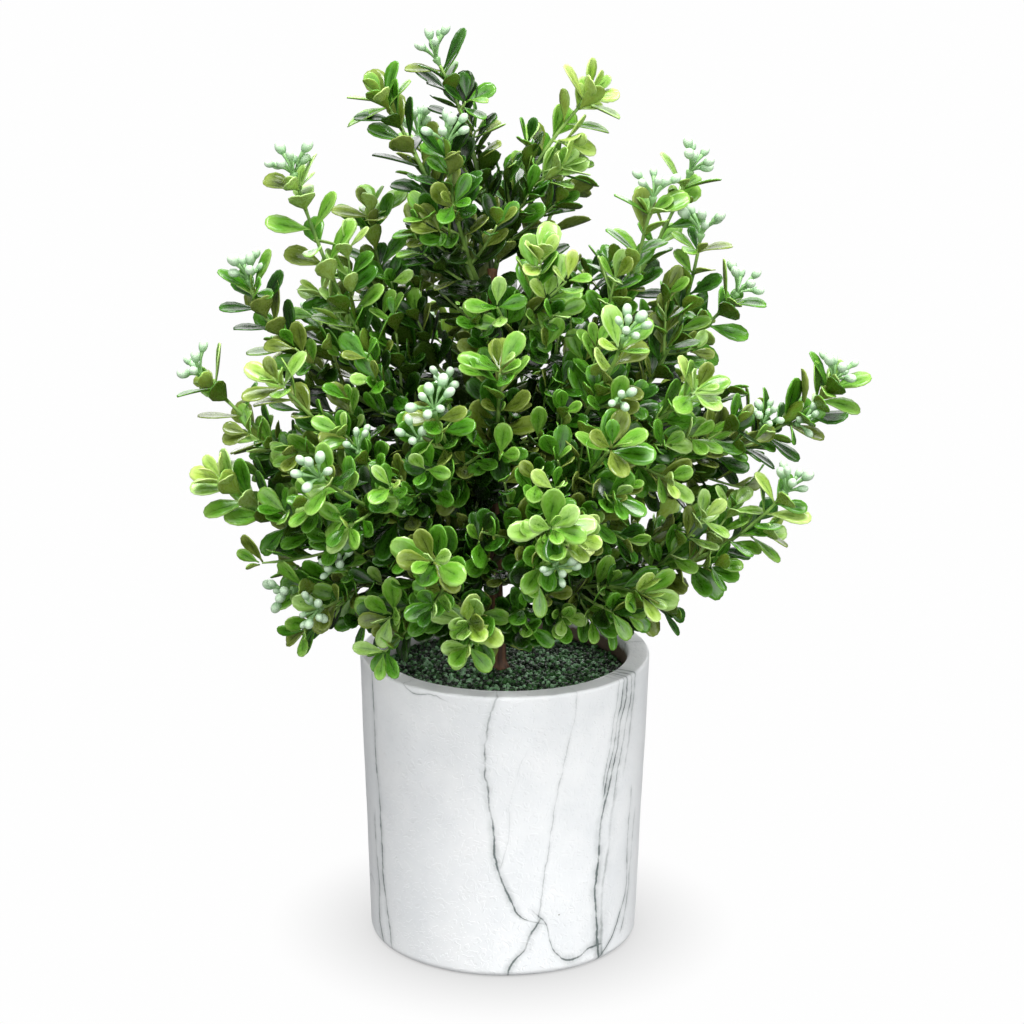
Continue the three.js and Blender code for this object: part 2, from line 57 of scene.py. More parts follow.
# Pot: a straight pot with a slight taper, cast thick-walled from white stone powder and resin.
# It is matt, a little uneven, pitted by small air bubbles, and marbled with grey veins.
MM = 0.001
POT_HEIGHT = 122.5
POT_TOP_RADIUS = 60
POT_FOOT_RADIUS = 56
POT_WALL = 9
POT_FLOOR = 9
RIM_ROUNDING = 1.2
FOOT_ROUNDING = 3
POT_SIDES = 240
WALL_ROWS = 84
DEGREES_ROUND = 360
# How deep the cast surface swells and ripples, over what lengths, and how far in from the rim's
# inside that ends.
SWELL_DEPTH = 0.22
SWELL_SIZE = (26, 26, 34)
RIPPLE_DEPTH = 0.07
RIPPLE_SIZE = (5, 5, 7)
RIM_RIPPLE_DEPTH = 0.12
WOBBLE_INSIDE = 2


def linear(hex_colour):
    """An sRGB hex colour as linear red, green, blue and alpha."""
    shares = [int(hex_colour[i:i + 2], 16) / 255 for i in (0, 2, 4)]
    return [s / 12.92 if s <= 0.04045 else ((s + 0.055) / 1.055) ** 2.4 for s in shares] + [1]


def node(material, kind, links=None, **settings):
    """Adds one shader node. links gives each socket its value or the output it takes."""
    made = material.node_tree.nodes.new("ShaderNode" + kind)
    for name, value in settings.items():
        setattr(made, name, value)
    for socket, value in (links or {}).items():
        if isinstance(value, bpy.types.Node):
            value = value.outputs[0]
        if isinstance(value, bpy.types.NodeSocket):
            material.node_tree.links.new(value, made.inputs[socket])
        else:
            made.inputs[socket].default_value = value
    return made


def empty_material(name):
    """A material with no nodes yet."""
    material = bpy.data.materials.new(name)
    material.use_nodes = True
    material.node_tree.nodes.clear()
    return material


def joined(name, parts, material, maps=None):
    """One smooth mesh from parts, each its points in mm, its four-sided and its three-sided faces.
    maps is each part's place on the map, one pair for each corner, four-sided faces first."""
    points = np.concatenate([part[0] for part in parts]) * MM
    starts = np.cumsum([0] + [len(part[0]) for part in parts[:-1]])
    quads = np.concatenate([part[1] + start for part, start in zip(parts, starts)]).astype(np.int32)
    threes = np.concatenate([part[2] + start for part, start in zip(parts, starts)]).astype(np.int32)
    mesh = bpy.data.meshes.new(name)
    mesh.vertices.add(len(points))
    mesh.vertices.foreach_set("co", points.astype(np.float32).ravel())
    mesh.loops.add(quads.size + threes.size)
    mesh.loops.foreach_set("vertex_index", np.concatenate([quads.ravel(), threes.ravel()]))
    mesh.polygons.add(len(quads) + len(threes))
    firsts = np.concatenate([np.arange(len(quads)) * 4, quads.size + np.arange(len(threes)) * 3])
    mesh.polygons.foreach_set("loop_start", firsts.astype(np.int32))
    mesh.update(calc_edges=True)
    mesh.polygons.foreach_set("use_smooth", np.ones(len(mesh.polygons), dtype=bool))
    if maps is not None:
        corners = np.concatenate([m[0] for m in maps] + [m[1] for m in maps])
        layer = mesh.uv_layers.new(name="OFBake")
        layer.data.foreach_set("uv", corners.astype(np.float32).ravel())
    mesh.validate()
    mesh.materials.append(material)
    piece = bpy.data.objects.new(name, mesh)
    bpy.context.collection.objects.link(piece)
    return piece


NO_THREES = np.zeros((0, 3), dtype=np.int32)


def arc(centre_r, centre_z, radius, start, end, steps):
    """Points of a quarter round of the pot's outline, as distance from the axis and height."""
    turns = np.radians(np.linspace(start, end, steps + 1))
    return np.stack([centre_r + radius * np.cos(turns), centre_z + radius * np.sin(turns)], 1)


def line(start, end, steps):
    """Points of a straight stretch of the pot's outline, without its first."""
    shares = np.linspace(0, 1, steps + 1)[1:, None]
    return np.array(start) + (np.array(end) - np.array(start)) * shares


def turned(outline, sides):
    """An outline that starts and ends on the axis, turned round it, as points and faces."""
    turns = np.linspace(0, 2 * math.pi, sides, endpoint=False)
    ring = outline[1:-1]
    points = np.stack([
        np.outer(ring[:, 0], np.cos(turns)),
        np.outer(ring[:, 0], np.sin(turns)),
        np.repeat(ring[:, 1:2], sides, 1),
    ], -1).reshape(-1, 3)
    here = np.arange(sides)
    after = (here + 1) % sides
    rows = np.arange(len(ring) - 1)[:, None] * sides
    quads = np.stack([rows + here, rows + after, rows + sides + after, rows + sides + here], -1)
    first, last = len(points), len(points) + 1
    top = (len(ring) - 1) * sides
    low_cap = np.stack([np.full(sides, first), after, here], -1)
    high_cap = np.stack([np.full(sides, last), top + here, top + after], -1)
    ends = [[0, 0, outline[0, 1]], [0, 0, outline[-1, 1]]]
    return np.concatenate([points, ends]), quads.reshape(-1, 4), np.concatenate([low_cap, high_cap])


def inner_radius(height):
    """How far the pot's inner wall is from its axis."""
    return POT_FOOT_RADIUS + (POT_TOP_RADIUS - POT_FOOT_RADIUS) * height / POT_HEIGHT - POT_WALL


def cast_wobble(points):
    """Moves the cast surface in and out a little, as hand-finished casting does."""
    distance = np.hypot(points[:, 0], points[:, 1])
    moved = points.copy()
    for i in np.flatnonzero(distance > inner_radius(POT_HEIGHT) - WOBBLE_INSIDE):
        place = points[i]
        swell = noise.noise(tuple(place / SWELL_SIZE))
        ripple = noise.noise(tuple(place / RIPPLE_SIZE))
        moved[i, :2] *= 1 + (SWELL_DEPTH * swell + RIPPLE_DEPTH * ripple) / distance[i]
        if place[2] > POT_HEIGHT - RIM_ROUNDING:
            moved[i, 2] += RIM_RIPPLE_DEPTH * ripple
    return moved


rim_z = POT_HEIGHT - RIM_ROUNDING
rim_inside = inner_radius(POT_HEIGHT) + RIM_ROUNDING
pot_outline = np.concatenate([
    [[0, 0]],
    line((0, 0), (POT_FOOT_RADIUS - FOOT_ROUNDING, 0), 6),
    arc(POT_FOOT_RADIUS - FOOT_ROUNDING, FOOT_ROUNDING, FOOT_ROUNDING, -90, 0, 7)[1:],
    line((POT_FOOT_RADIUS, FOOT_ROUNDING), (POT_TOP_RADIUS, rim_z), WALL_ROWS),
    arc(POT_TOP_RADIUS - RIM_ROUNDING, rim_z, RIM_ROUNDING, 0, 90, 6)[1:],
    line((POT_TOP_RADIUS - RIM_ROUNDING, POT_HEIGHT), (rim_inside, POT_HEIGHT), 5),
    arc(rim_inside, rim_z, RIM_ROUNDING, 90, 180, 6)[1:],
    line((inner_radius(POT_HEIGHT), rim_z), (inner_radius(POT_FLOOR), POT_FLOOR), 14),
    line((inner_radius(POT_FLOOR), POT_FLOOR), (0, POT_FLOOR), 3),
])

# Cast stone powder in resin: nearly white, matt with a faint sheen. The veins are grey pigment
# run down the mould; each is given by degrees round from the front and height in mm.
stone = empty_material("marbled_cast_stone_powder")
coords = node(stone, "TexCoord").outputs["Object"]
xyz = node(stone, "SeparateXYZ", {0: coords}).outputs
toward_front = node(stone, "Math", {0: xyz[1], 1: -1}, operation="MULTIPLY")
round_turn = node(stone, "Math", {0: xyz[0], 1: toward_front}, operation="ARCTAN2")
round_share = node(
    stone, "Math", {0: round_turn, 1: 1 / (2 * math.pi), 2: 0.5}, operation="MULTIPLY_ADD")
height_share = node(stone, "Math", {0: xyz[2], 1: POT_HEIGHT * MM}, operation="DIVIDE")
# The pigment wanders over about 14 mm and frays over about 2 mm.
wander = node(stone, "TexNoise", {"Vector": coords, "Scale": 70, "Detail": 2})
fray = node(stone, "TexNoise", {"Vector": coords, "Scale": 420, "Detail": 3})
patchy = node(stone, "TexNoise", {"Vector": coords, "Scale": 160, "Detail": 3})
wandered = node(stone, "Math", {0: wander, 1: 3.0, 2: -1.5}, operation="MULTIPLY_ADD")
frayed = node(stone, "Math", {0: fray, 1: 1.1, 2: wandered}, operation="MULTIPLY_ADD")
patches = node(stone, "MapRange", {0: patchy, 1: 0.36, 2: 0.62, 3: 0.35, 4: 1.15})


def set_curve(curve_node, points):
    """Draws a curve node through its points."""
    curve = curve_node.mapping.curves[0]
    while len(curve.points) < len(points):
        curve.points.new(0.5, 0.5)
    for point, place in zip(curve.points, sorted(points)):
        point.location = place
    curve_node.mapping.update()


# A wash five times as wide as its thread lies round each vein, and each end fades out over about
# a fortieth of the pot's height, or of the way round it.
WASH_WIDTH = 5
WASH_STRENGTH = 0.3
VEIN_FADE = 0.012


def vein(path, width, strengths, across):
    """How dark one vein makes each place, from one end of its run to the other."""
    ends = [place[0 if across else 1] for place in path]
    run = round_share if across else height_share
    if across:
        route = [(degrees / DEGREES_ROUND + 0.5, height / POT_HEIGHT) for degrees, height in path]
        share, scale = height_share, POT_HEIGHT
    else:
        route = [(height / POT_HEIGHT, degrees / DEGREES_ROUND + 0.5) for degrees, height in path]
        share, scale = round_share, DEGREES_ROUND
    middle = node(stone, "FloatCurve", {"Value": run})
    set_curve(middle, route)
    off = node(stone, "Math", {0: share, 1: middle}, operation="SUBTRACT")
    off_mm = node(stone, "Math", {0: off, 1: scale, 2: frayed}, operation="MULTIPLY_ADD")
    away = node(stone, "Math", {0: off_mm}, operation="ABSOLUTE")
    thread = node(stone, "MapRange", {0: away, 1: width, 2: 0}, interpolation_type="SMOOTHSTEP")
    wash = node(stone, "MapRange", {0: away, 1: width * WASH_WIDTH, 2: 0, 3: 0, 4: WASH_STRENGTH},
                interpolation_type="SMOOTHSTEP")
    both = node(stone, "Math", {0: thread, 1: wash}, operation="ADD")
    span = DEGREES_ROUND if across else POT_HEIGHT
    shift = 0.5 if across else 0
    low, high = min(ends) / span + shift, max(ends) / span + shift
    starts = node(stone, "MapRange", {0: run, 1: low - VEIN_FADE, 2: low + VEIN_FADE})
    stops = node(stone, "MapRange", {0: run, 1: high + VEIN_FADE, 2: high - VEIN_FADE})
    kept = node(stone, "Math", {0: starts, 1: stops}, operation="MULTIPLY")
    strength = node(stone, "MapRange", {0: run, 1: low, 2: high, 3: strengths[0], 4: strengths[1]})
    kept = node(stone, "Math", {0: kept, 1: strength}, operation="MULTIPLY")
    return node(stone, "Math", {0: both, 1: kept}, operation="MULTIPLY")


# Each vein: its route, its half width in mm, how strong it is at its low and its high end (left and
# right end where it runs across), and whether it runs across.
VEINS = [
    ([(-1.3, 124), (-5.9, 111), (-5.8, 83), (-4.2, 69), (-0.5, 45), (4, 33.5), (8.5, 26.5),
      (14.5, 24)], 0.6, (1.5, 0.32), False),
    ([(15.5, 25), (12, 18.4), (9.2, 11), (5.9, 8), (3, 1)], 0.75, (1.4, 1.0), False),
    ([(15, 27), (18, 23.6), (20.3, 14.3), (23.6, 8.8), (28, 5.7), (34, 6.1), (38.4, 8.5),
      (45, 8.4)], 0.75, (1.3, 1.1), True),
    ([(29, 124), (27.8, 109), (24.8, 93), (21.7, 79), (19.9, 65), (18.2, 50), (16.3, 37),
      (14.9, 25)], 0.36, (0.42, 0.24), False),
    ([(9.5, 99), (5.8, 90), (3.6, 79), (2.5, 65), (1, 54), (-0.6, 48)], 0.4, (0.2, 0.1), False),
    ([(56.5, 124), (55.3, 113), (52.7, 102), (49.8, 87), (45.8, 72), (43.1, 58), (42.2, 44),
      (41.7, 32), (43, 20), (45.5, 2)], 0.8, (1.25, 0.8), False),
    ([(54.4, 124), (52, 110), (49, 96), (46.4, 84), (44.4, 74)], 0.6, (0.7, 0.6), False),
    ([(51.5, 124), (49, 108), (46, 92), (43.8, 78)], 0.45, (0.4, 0.4), False),
    ([(59.5, 124), (59, 112), (56, 98), (52.5, 82), (50, 70)], 0.7, (0.5, 0.75), False),
    ([(63, 124), (61.5, 110), (60, 96), (57, 80)], 1.1, (0.2, 0.6), False),
    ([(52, 76), (49, 60), (47.5, 44), (46, 28), (46.5, 12), (48, 2)], 1.3, (0.5, 0.2), False),
    ([(65, 72), (63.6, 47), (63.9, 25), (58.4, 15.6), (52.1, 6.5), (46, 2)], 0.7, (1.0, 0.4), False),
    ([(70, 60), (68, 40), (66, 20), (61, 8)], 1.0, (0.6, 0.2), False),
    ([(-63, 124), (-63, 109), (-63, 87), (-61.4, 73), (-60.2, 52), (-60.5, 36), (-58, 21),
      (-55, 1)], 0.8, (0.9, 0.55), False),
    ([(-66, 60), (-67, 44), (-65, 28), (-66, 12), (-62, 1)], 1.0, (0.8, 0.4), False),
    ([(-41, 121.6), (-36, 120.2), (-30, 121.4), (-25, 120.6)], 0.22, (0.85, 0.85), True),
    ([(102, 124), (98, 104), (101, 82), (94, 58), (96, 36), (90, 14), (92, 1)], 0.8, (0.7, 0.4), False),
    ([(126, 124), (121, 98), (112, 76), (108, 52), (98, 34), (95, 26)], 0.45, (0.5, 0.3), False),
    ([(163, 124), (158, 100), (161, 74), (154, 46), (158, 22), (151, 1)], 0.7, (0.5, 0.7), False),
    ([(-150, 124), (-146, 100), (-151, 78), (-143, 50), (-146, 26), (-139, 1)], 1.0, (0.5, 0.6), False),
    ([(-154, 124), (-150, 104), (-148, 84)], 0.5, (0.25, 0.45), False),
    ([(-112, 124), (-107, 104), (-109, 80), (-102, 60), (-99, 42), (-91, 32), (-88, 18),
      (-92, 1)], 0.6, (0.65, 0.4), False),
    ([(-96, 34), (-84, 24), (-78, 27), (-70, 18)], 0.5, (0.5, 0.3), True),
]
pigment = None
for path, width, strengths, across in VEINS:
    one = vein(path, width, strengths, across)
    pigment = node(stone, "Math", {0: pigment, 1: one}, operation="ADD") if pigment else one
pigment = node(stone, "Math", {0: pigment, 1: patches}, operation="MULTIPLY", use_clamp=True)

# Cloudiness of a few hundredths over about 25 mm, and a colder cast where pigment washed out.
cloud = node(stone, "TexNoise", {"Vector": coords, "Scale": 38, "Detail": 4, "Roughness": 0.6})
cloudy = node(stone, "MapRange", {0: cloud, 1: 0.35, 2: 0.7})
body = node(stone, "Mix", {0: cloudy, 6: linear("eef0f1"), 7: linear("e4e7e9")},
            data_type="RGBA").outputs[2]
marbled = node(stone, "Mix", {0: pigment, 6: body, 7: linear("66706f")},
               data_type="RGBA").outputs[2]
# Pinholes about 0.5 mm across, one to every 12 mm or so, and only some of them dark.
bubbles = node(stone, "TexVoronoi", {"Vector": coords, "Scale": 82})
hole = node(stone, "MapRange", {0: bubbles.outputs["Distance"], 1: 0.035, 2: 0.02})
shown = node(stone, "SeparateColor", {0: bubbles.outputs["Color"]})
shown = node(stone, "Math", {0: shown, 1: 0.66}, operation="GREATER_THAN")
hole = node(stone, "Math", {0: hole, 1: shown}, operation="MULTIPLY")
specked = node(stone, "Mix", {0: hole, 6: marbled, 7: linear("8a8780")},
               data_type="RGBA").outputs[2]
# Below the rim the inner wall gets painted shade, dark brown and more on its right side.
from_axis = node(stone, "VectorMath", {0: node(stone, "CombineXYZ", {0: xyz[0], 1: xyz[1]})},
                 operation="LENGTH").outputs["Value"]
inside = node(stone, "MapRange", {0: from_axis, 1: 0.0528, 2: 0.0516})
recess_shade_edge = node(stone, "Math", {0: fray, 1: 0.0035, 2: xyz[2]}, operation="MULTIPLY_ADD")
painted_recess_shade = node(stone, "MapRange", {0: recess_shade_edge, 1: 0.1222, 2: 0.1195})
painted_recess_shade = node(stone, "Math", {0: inside, 1: painted_recess_shade}, operation="MULTIPLY")
recess_shade_side = node(stone, "MapRange", {0: xyz[0], 1: -0.02, 2: 0.02, 3: 0.25, 4: 0.95})
painted_recess_shade = node(stone, "Math", {0: painted_recess_shade, 1: recess_shade_side}, operation="MULTIPLY")
stone_colour = node(stone, "Mix", {0: painted_recess_shade, 6: specked, 7: linear("5d4632")},
                    data_type="RGBA").outputs[2]
# Grain of about 1 mm, and thin flakes 2 to 4 mm long where the slurry dried on the mould.
grain = node(stone, "TexNoise", {"Vector": coords, "Scale": 1000, "Detail": 2})
flakes = node(stone, "TexNoise", {"Vector": coords, "Scale": 260, "Detail": 1, "Distortion": 1.6})
flake = node(stone, "MapRange", {0: flakes, 1: 0.6, 2: 0.64}, interpolation_type="SMOOTHSTEP")
hollows = node(stone, "MapRange", {0: flakes, 1: 0.36, 2: 0.3}, interpolation_type="SMOOTHSTEP")
relief = node(stone, "Math", {0: grain, 1: 0.32, 2: flake}, operation="MULTIPLY_ADD")
relief = node(stone, "Math", {0: hollows, 1: -0.8, 2: relief}, operation="MULTIPLY_ADD")
relief = node(stone, "Math", {0: hole, 1: -3, 2: relief}, operation="MULTIPLY_ADD")
stone_bump = node(stone, "Bump", {"Strength": 0.5, "Distance": 0.00025, "Height": relief})
stone_gloss = node(stone, "MapRange", {0: cloud, 1: 0.3, 2: 0.7, 3: 0.5, 4: 0.62})
stone_shader = node(stone, "BsdfPrincipled", {
    "Base Color": stone_colour, "Roughness": stone_gloss, "IOR": 1.5, "Normal": stone_bump})
node(stone, "OutputMaterial", {"Surface": stone_shader})

pot_points, pot_quads, pot_threes = turned(pot_outline, POT_SIDES)
pot = joined("cast_pot", [(cast_wobble(pot_points), pot_quads, pot_threes)], stone)
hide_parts("pot")
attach(pot, "root")


# Filling: a plug of foam that fills the pot, its top covered with small moulded granules in three
# greens, glued down as they fell.
FILL_TOP = 113.5
PLUG_BELOW_TOP = 1.1
PLUG_GAP = 0.3
# Granules lie in staggered rows, 0.866 of their spacing apart, within the field's radius.
GRANULE_SPACING = 1.95
ROW_SHARE = 0.866
GRANULE_RADII = (0.7, 1.0)
GRANULE_FIELD = 49.6
# How deep they sit, how far they are knocked aside and up or down, how high they are heaped in the
# middle, how many lie on others and how much higher.
GRANULE_SINK = 0.55
GRANULE_KNOCK = 0.42
GRANULE_UNEVEN = 0.35
HEAP_HEIGHT = 0.54
PERCHED_SHARE = 0.14
PERCHED_RISE = 0.75
TRUNK_FOOT = (-2, 3)
TRUNK_ROOM = 4.4
filling_rng = np.random.default_rng(3)


def ball(sides, rings, radius_across=1, radius_along=1):
    """A ball or egg with its poles on +Z and -Z."""
    tilts = np.linspace(-90, 90, rings + 1)
    outline = np.stack([np.cos(np.radians(tilts)), np.sin(np.radians(tilts))], 1)
    outline[[0, -1], 0] = 0
    return turned(outline * [radius_across, radius_along], sides)


def copies(shape, frames, places):
    """Copies of one shape, each turned by its own frame of three rows and set at its place."""
    points, quads, threes = shape
    moved = np.einsum("pk,nkj->npj", points, frames) + places[:, None]
    steps = np.arange(len(places))[:, None, None] * len(points)
    return (moved.reshape(-1, 3), (quads + steps).reshape(-1, 4), (threes + steps).reshape(-1, 3))


def random_frames(rng, sizes):
    """A random turn for each size, scaled by it."""
    turns = np.linalg.qr(rng.normal(size=(len(sizes), 3, 3)))[0]
    turns[:, 2] = np.cross(turns[:, 0], turns[:, 1])
    return turns * sizes[:, None, None]


def dyed_plastic(name, scale, detail, shade, pale, roughness, ior):
    """A moulded plastic, its dye mottled between two greens. scale is how many blotches a metre has."""
    plastic = empty_material(name)
    coords = node(plastic, "TexCoord").outputs["Object"]
    mottle = node(plastic, "TexNoise", {"Vector": coords, "Scale": scale, "Detail": detail})
    colour = node(plastic, "Mix", {0: mottle, 6: linear(shade), 7: linear(pale)},
                  data_type="RGBA").outputs[2]
    shader = node(plastic, "BsdfPrincipled", {
        "Base Color": colour, "Roughness": roughness, "IOR": ior})
    node(plastic, "OutputMaterial", {"Surface": shader})
    return plastic


plug_top = FILL_TOP - PLUG_BELOW_TOP
plug_bottom = POT_FLOOR + PLUG_GAP
plug_low_radius = inner_radius(plug_bottom) - PLUG_GAP
plug_top_radius = inner_radius(plug_top) - PLUG_GAP
plug_outline = np.concatenate([
    [[0, plug_bottom]],
    line((0, plug_bottom), (plug_low_radius, plug_bottom), 2),
    line((plug_low_radius, plug_bottom), (plug_top_radius, plug_top), 6),
    line((plug_top_radius, plug_top), (0, plug_top), 12),
])
# Foamed plastic, dull; its near-black green is partly dye, partly painted shade in the granules' gaps.
gap_shade_foam = dyed_plastic("dyed_foam_plug", 500, 2, "050a04", "0e1a0b", 0.9, 1.5)
plug = joined("filling_plug", [turned(plug_outline, 96)], gap_shade_foam)
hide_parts("pot_filling")
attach(plug, "root")


def granule_places(rng):
    """Staggered rows, each granule knocked off its place, some lying on the others."""
    rows = int(2 * GRANULE_FIELD / (GRANULE_SPACING * ROW_SHARE))
    found = []
    for row in range(rows + 1):
        y = -GRANULE_FIELD + row * GRANULE_SPACING * ROW_SHARE
        for x in np.arange(-GRANULE_FIELD, GRANULE_FIELD, GRANULE_SPACING):
            found.append((x + (row % 2) * GRANULE_SPACING / 2, y))
    flat = np.array(found) + rng.uniform(-GRANULE_KNOCK, GRANULE_KNOCK, (len(found), 2))
    distance = np.hypot(*flat.T)
    clear = np.hypot(*(flat - TRUNK_FOOT).T) > TRUNK_ROOM
    flat = flat[(distance < GRANULE_FIELD) & clear]
    distance = np.hypot(*flat.T)
    heap = HEAP_HEIGHT * (1 - (distance / GRANULE_FIELD) ** 2)
    rise = rng.uniform(-GRANULE_UNEVEN, GRANULE_UNEVEN, len(flat))
    rise = rise + (rng.random(len(flat)) < PERCHED_SHARE) * PERCHED_RISE
    return np.column_stack([flat, FILL_TOP - GRANULE_SINK + heap + rise])


granules_at = granule_places(filling_rng)
granule_sizes = filling_rng.uniform(*GRANULE_RADII, len(granules_at))
# Each green of granule: its shade, its pale mottling and its share of them all.
GRANULE_GREENS = {
    "dark": ("0c2209", "1a3a14", 0.42),
    "green": ("2c5f26", "47803c", 0.36),
    "mint": ("77b27a", "aedbab", 0.22),
}
granule_shares = [row[2] for row in GRANULE_GREENS.values()]
granule_kind = filling_rng.choice(len(GRANULE_GREENS), len(granules_at), p=granule_shares)
# Moulded polyethylene beads: smooth with a soft shine, so each shows a pale point of light.
for kind, (green, (shade, pale, _)) in enumerate(GRANULE_GREENS.items()):
    bead = dyed_plastic(f"polyethylene_bead_{green}", 700, 1, shade, pale, 0.34, 1.5)
    own = granule_kind == kind
    frames = random_frames(filling_rng, granule_sizes[own])
    granules = joined(f"granules_{green}", [copies(ball(6, 4), frames, granules_at[own])], bead)
    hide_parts("pot_filling")
    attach(granules, "root")


# Trunk: one brown plastic stake moulded with bark, thicker at its foot, standing in the filling
# and leaning slightly left as it rises.
TRUNK_AXIS = (-6, 3)
TRUNK_TIP_Z = 282
TRUNK_FOOT_RADIUS = 3.1
TRUNK_TIP_RADIUS = 1.9
TRUNK_FLARE = 1.8
TRUNK_FLARE_HEIGHT = 9
TRUNK_BEND = 0.35
TRUNK_ROWS = 150
TRUNK_SIDES = 28
# The bark's relief: its depth, how many ridges and knots lie round the stake and up it, how much of
# the relief each is, and how rare the knots are.
BARK_DEPTH = 0.34
RIDGES_ROUND = 2.4
RIDGES_UP = 9
RIDGE_SHARPNESS = 3.2
RIDGE_SHARE = 0.7
KNOTS_ROUND = 0.6
KNOTS_UP = 26
KNOT_SHARE = 2.6
KNOT_RARITY = 0.25
BARK_LEVEL = 0.3


def bend_point(corners, share):
    """Points of the curve that starts and ends at the outer corners and is drawn to the middle one."""
    share = np.asarray(share, dtype=float)[..., None]
    start, middle, end = (np.asarray(corner, dtype=float) for corner in corners)
    return (1 - share) ** 2 * start + 2 * share * (1 - share) * middle + share ** 2 * end


def bend_heading(corners, share):
    """Which way that curve runs at each share of it."""
    share = np.asarray(share, dtype=float)[..., None]
    start, middle, end = (np.asarray(corner, dtype=float) for corner in corners)
    run = 2 * (1 - share) * (middle - start) + 2 * share * (end - middle)
    return run / np.linalg.norm(run, axis=-1, keepdims=True)


def axes_across(heading):
    """Two directions square to each heading and to each other."""
    steep = np.abs(heading[..., 2:3]) > 0.95
    reference = np.where(steep, [1.0, 0, 0], [0, 0, 1.0])
    across = np.cross(heading, reference)
    across /= np.linalg.norm(across, axis=-1, keepdims=True)
    return across, np.cross(across, heading)


def tube(centres, radii, sides):
    """A closed tapering limb. radii is one number a ring, or one for each ring and side."""
    headings = np.gradient(centres, axis=0)
    headings /= np.linalg.norm(headings, axis=1, keepdims=True)
    across, over = axes_across(headings)
    turns = np.linspace(0, 2 * math.pi, sides, endpoint=False)
    radii = np.broadcast_to(np.asarray(radii).reshape(len(centres), -1), (len(centres), sides))
    round_points = (across[:, None] * np.cos(turns)[None, :, None]
                    + over[:, None] * np.sin(turns)[None, :, None])
    points = centres[:, None] + round_points * radii[..., None]
    here = np.arange(sides)
    after = (here + 1) % sides
    rows = np.arange(len(centres) - 1)[:, None] * sides
    quads = np.stack([rows + here, rows + sides + here, rows + sides + after, rows + after], -1)
    top = (len(centres) - 1) * sides
    count = len(centres) * sides
    low_cap = np.stack([np.full(sides, count), here, after], -1)
    high_cap = np.stack([np.full(sides, count + 1), top + after, top + here], -1)
    tips = np.stack([centres[0] - headings[0] * radii[0, 0] * 0.3,
                     centres[-1] + headings[-1] * radii[-1, 0] * 0.5])
    points = np.concatenate([points.reshape(-1, 3), tips])
    return points, quads.reshape(-1, 4), np.concatenate([low_cap, high_cap])


trunk_foot = (TRUNK_FOOT[0], TRUNK_FOOT[1], FILL_TOP - 2)
trunk_line = (
    trunk_foot,
    (*TRUNK_AXIS, trunk_foot[2] + (TRUNK_TIP_Z - trunk_foot[2]) * TRUNK_BEND),
    (*TRUNK_AXIS, TRUNK_TIP_Z),
)


def bark(shares, sides):
    """How far the bark stands out: ridges that run up the stake and part now and then, and knots."""
    relief = np.zeros((len(shares), sides))
    for i, share in enumerate(shares):
        for j in range(sides):
            turn = 2 * math.pi * j / sides
            x, y = math.cos(turn) * RIDGES_ROUND, math.sin(turn) * RIDGES_ROUND
            ridge = 1 - abs(noise.noise((x, y, share * RIDGES_UP))) * RIDGE_SHARPNESS
            knot = noise.noise((x * KNOTS_ROUND, y * KNOTS_ROUND, share * KNOTS_UP))
            knot = max(0, knot - KNOT_RARITY) * KNOT_SHARE
            relief[i, j] = BARK_DEPTH * (ridge * RIDGE_SHARE + knot - BARK_LEVEL)
    return relief


trunk_shares = np.linspace(0, 1, TRUNK_ROWS)
trunk_height = TRUNK_TIP_Z - FILL_TOP
trunk_flare = TRUNK_FLARE * np.clip(1 - trunk_shares * trunk_height / TRUNK_FLARE_HEIGHT, 0, 1) ** 2
trunk_radii = TRUNK_FOOT_RADIUS + (TRUNK_TIP_RADIUS - TRUNK_FOOT_RADIUS) * trunk_shares + trunk_flare
trunk_shape = tube(bend_point(trunk_line, trunk_shares),
                   trunk_radii[:, None] + bark(trunk_shares, TRUNK_SIDES), TRUNK_SIDES)
# Brown polyethylene with a rubbed darker wash: semi-matt, darker in its grooves.
bark_plastic = empty_material("washed_brown_polyethylene")
bark_coords = node(bark_plastic, "TexCoord").outputs["Object"]
bark_stretch = node(bark_plastic, "Mapping", {"Vector": bark_coords, "Scale": (520, 520, 70)})
bark_streak = node(bark_plastic, "TexNoise", {"Vector": bark_stretch, "Scale": 1, "Detail": 4})
bark_share = node(bark_plastic, "MapRange", {0: bark_streak, 1: 0.35, 2: 0.65})
bark_colour = node(bark_plastic, "Mix", {0: bark_share, 6: linear("3b2314"), 7: linear("7d5536")},
                   data_type="RGBA").outputs[2]
bark_bump = node(bark_plastic, "Bump", {
    "Strength": 0.5, "Distance": 0.0003, "Height": bark_streak})
bark_shader = node(bark_plastic, "BsdfPrincipled", {
    "Base Color": bark_colour, "Roughness": 0.55, "IOR": 1.5, "Normal": bark_bump})
node(bark_plastic, "OutputMaterial", {"Surface": bark_shader})
trunk = joined("bark_trunk", [trunk_shape], bark_plastic)
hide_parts("trunk")
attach(trunk, "root")


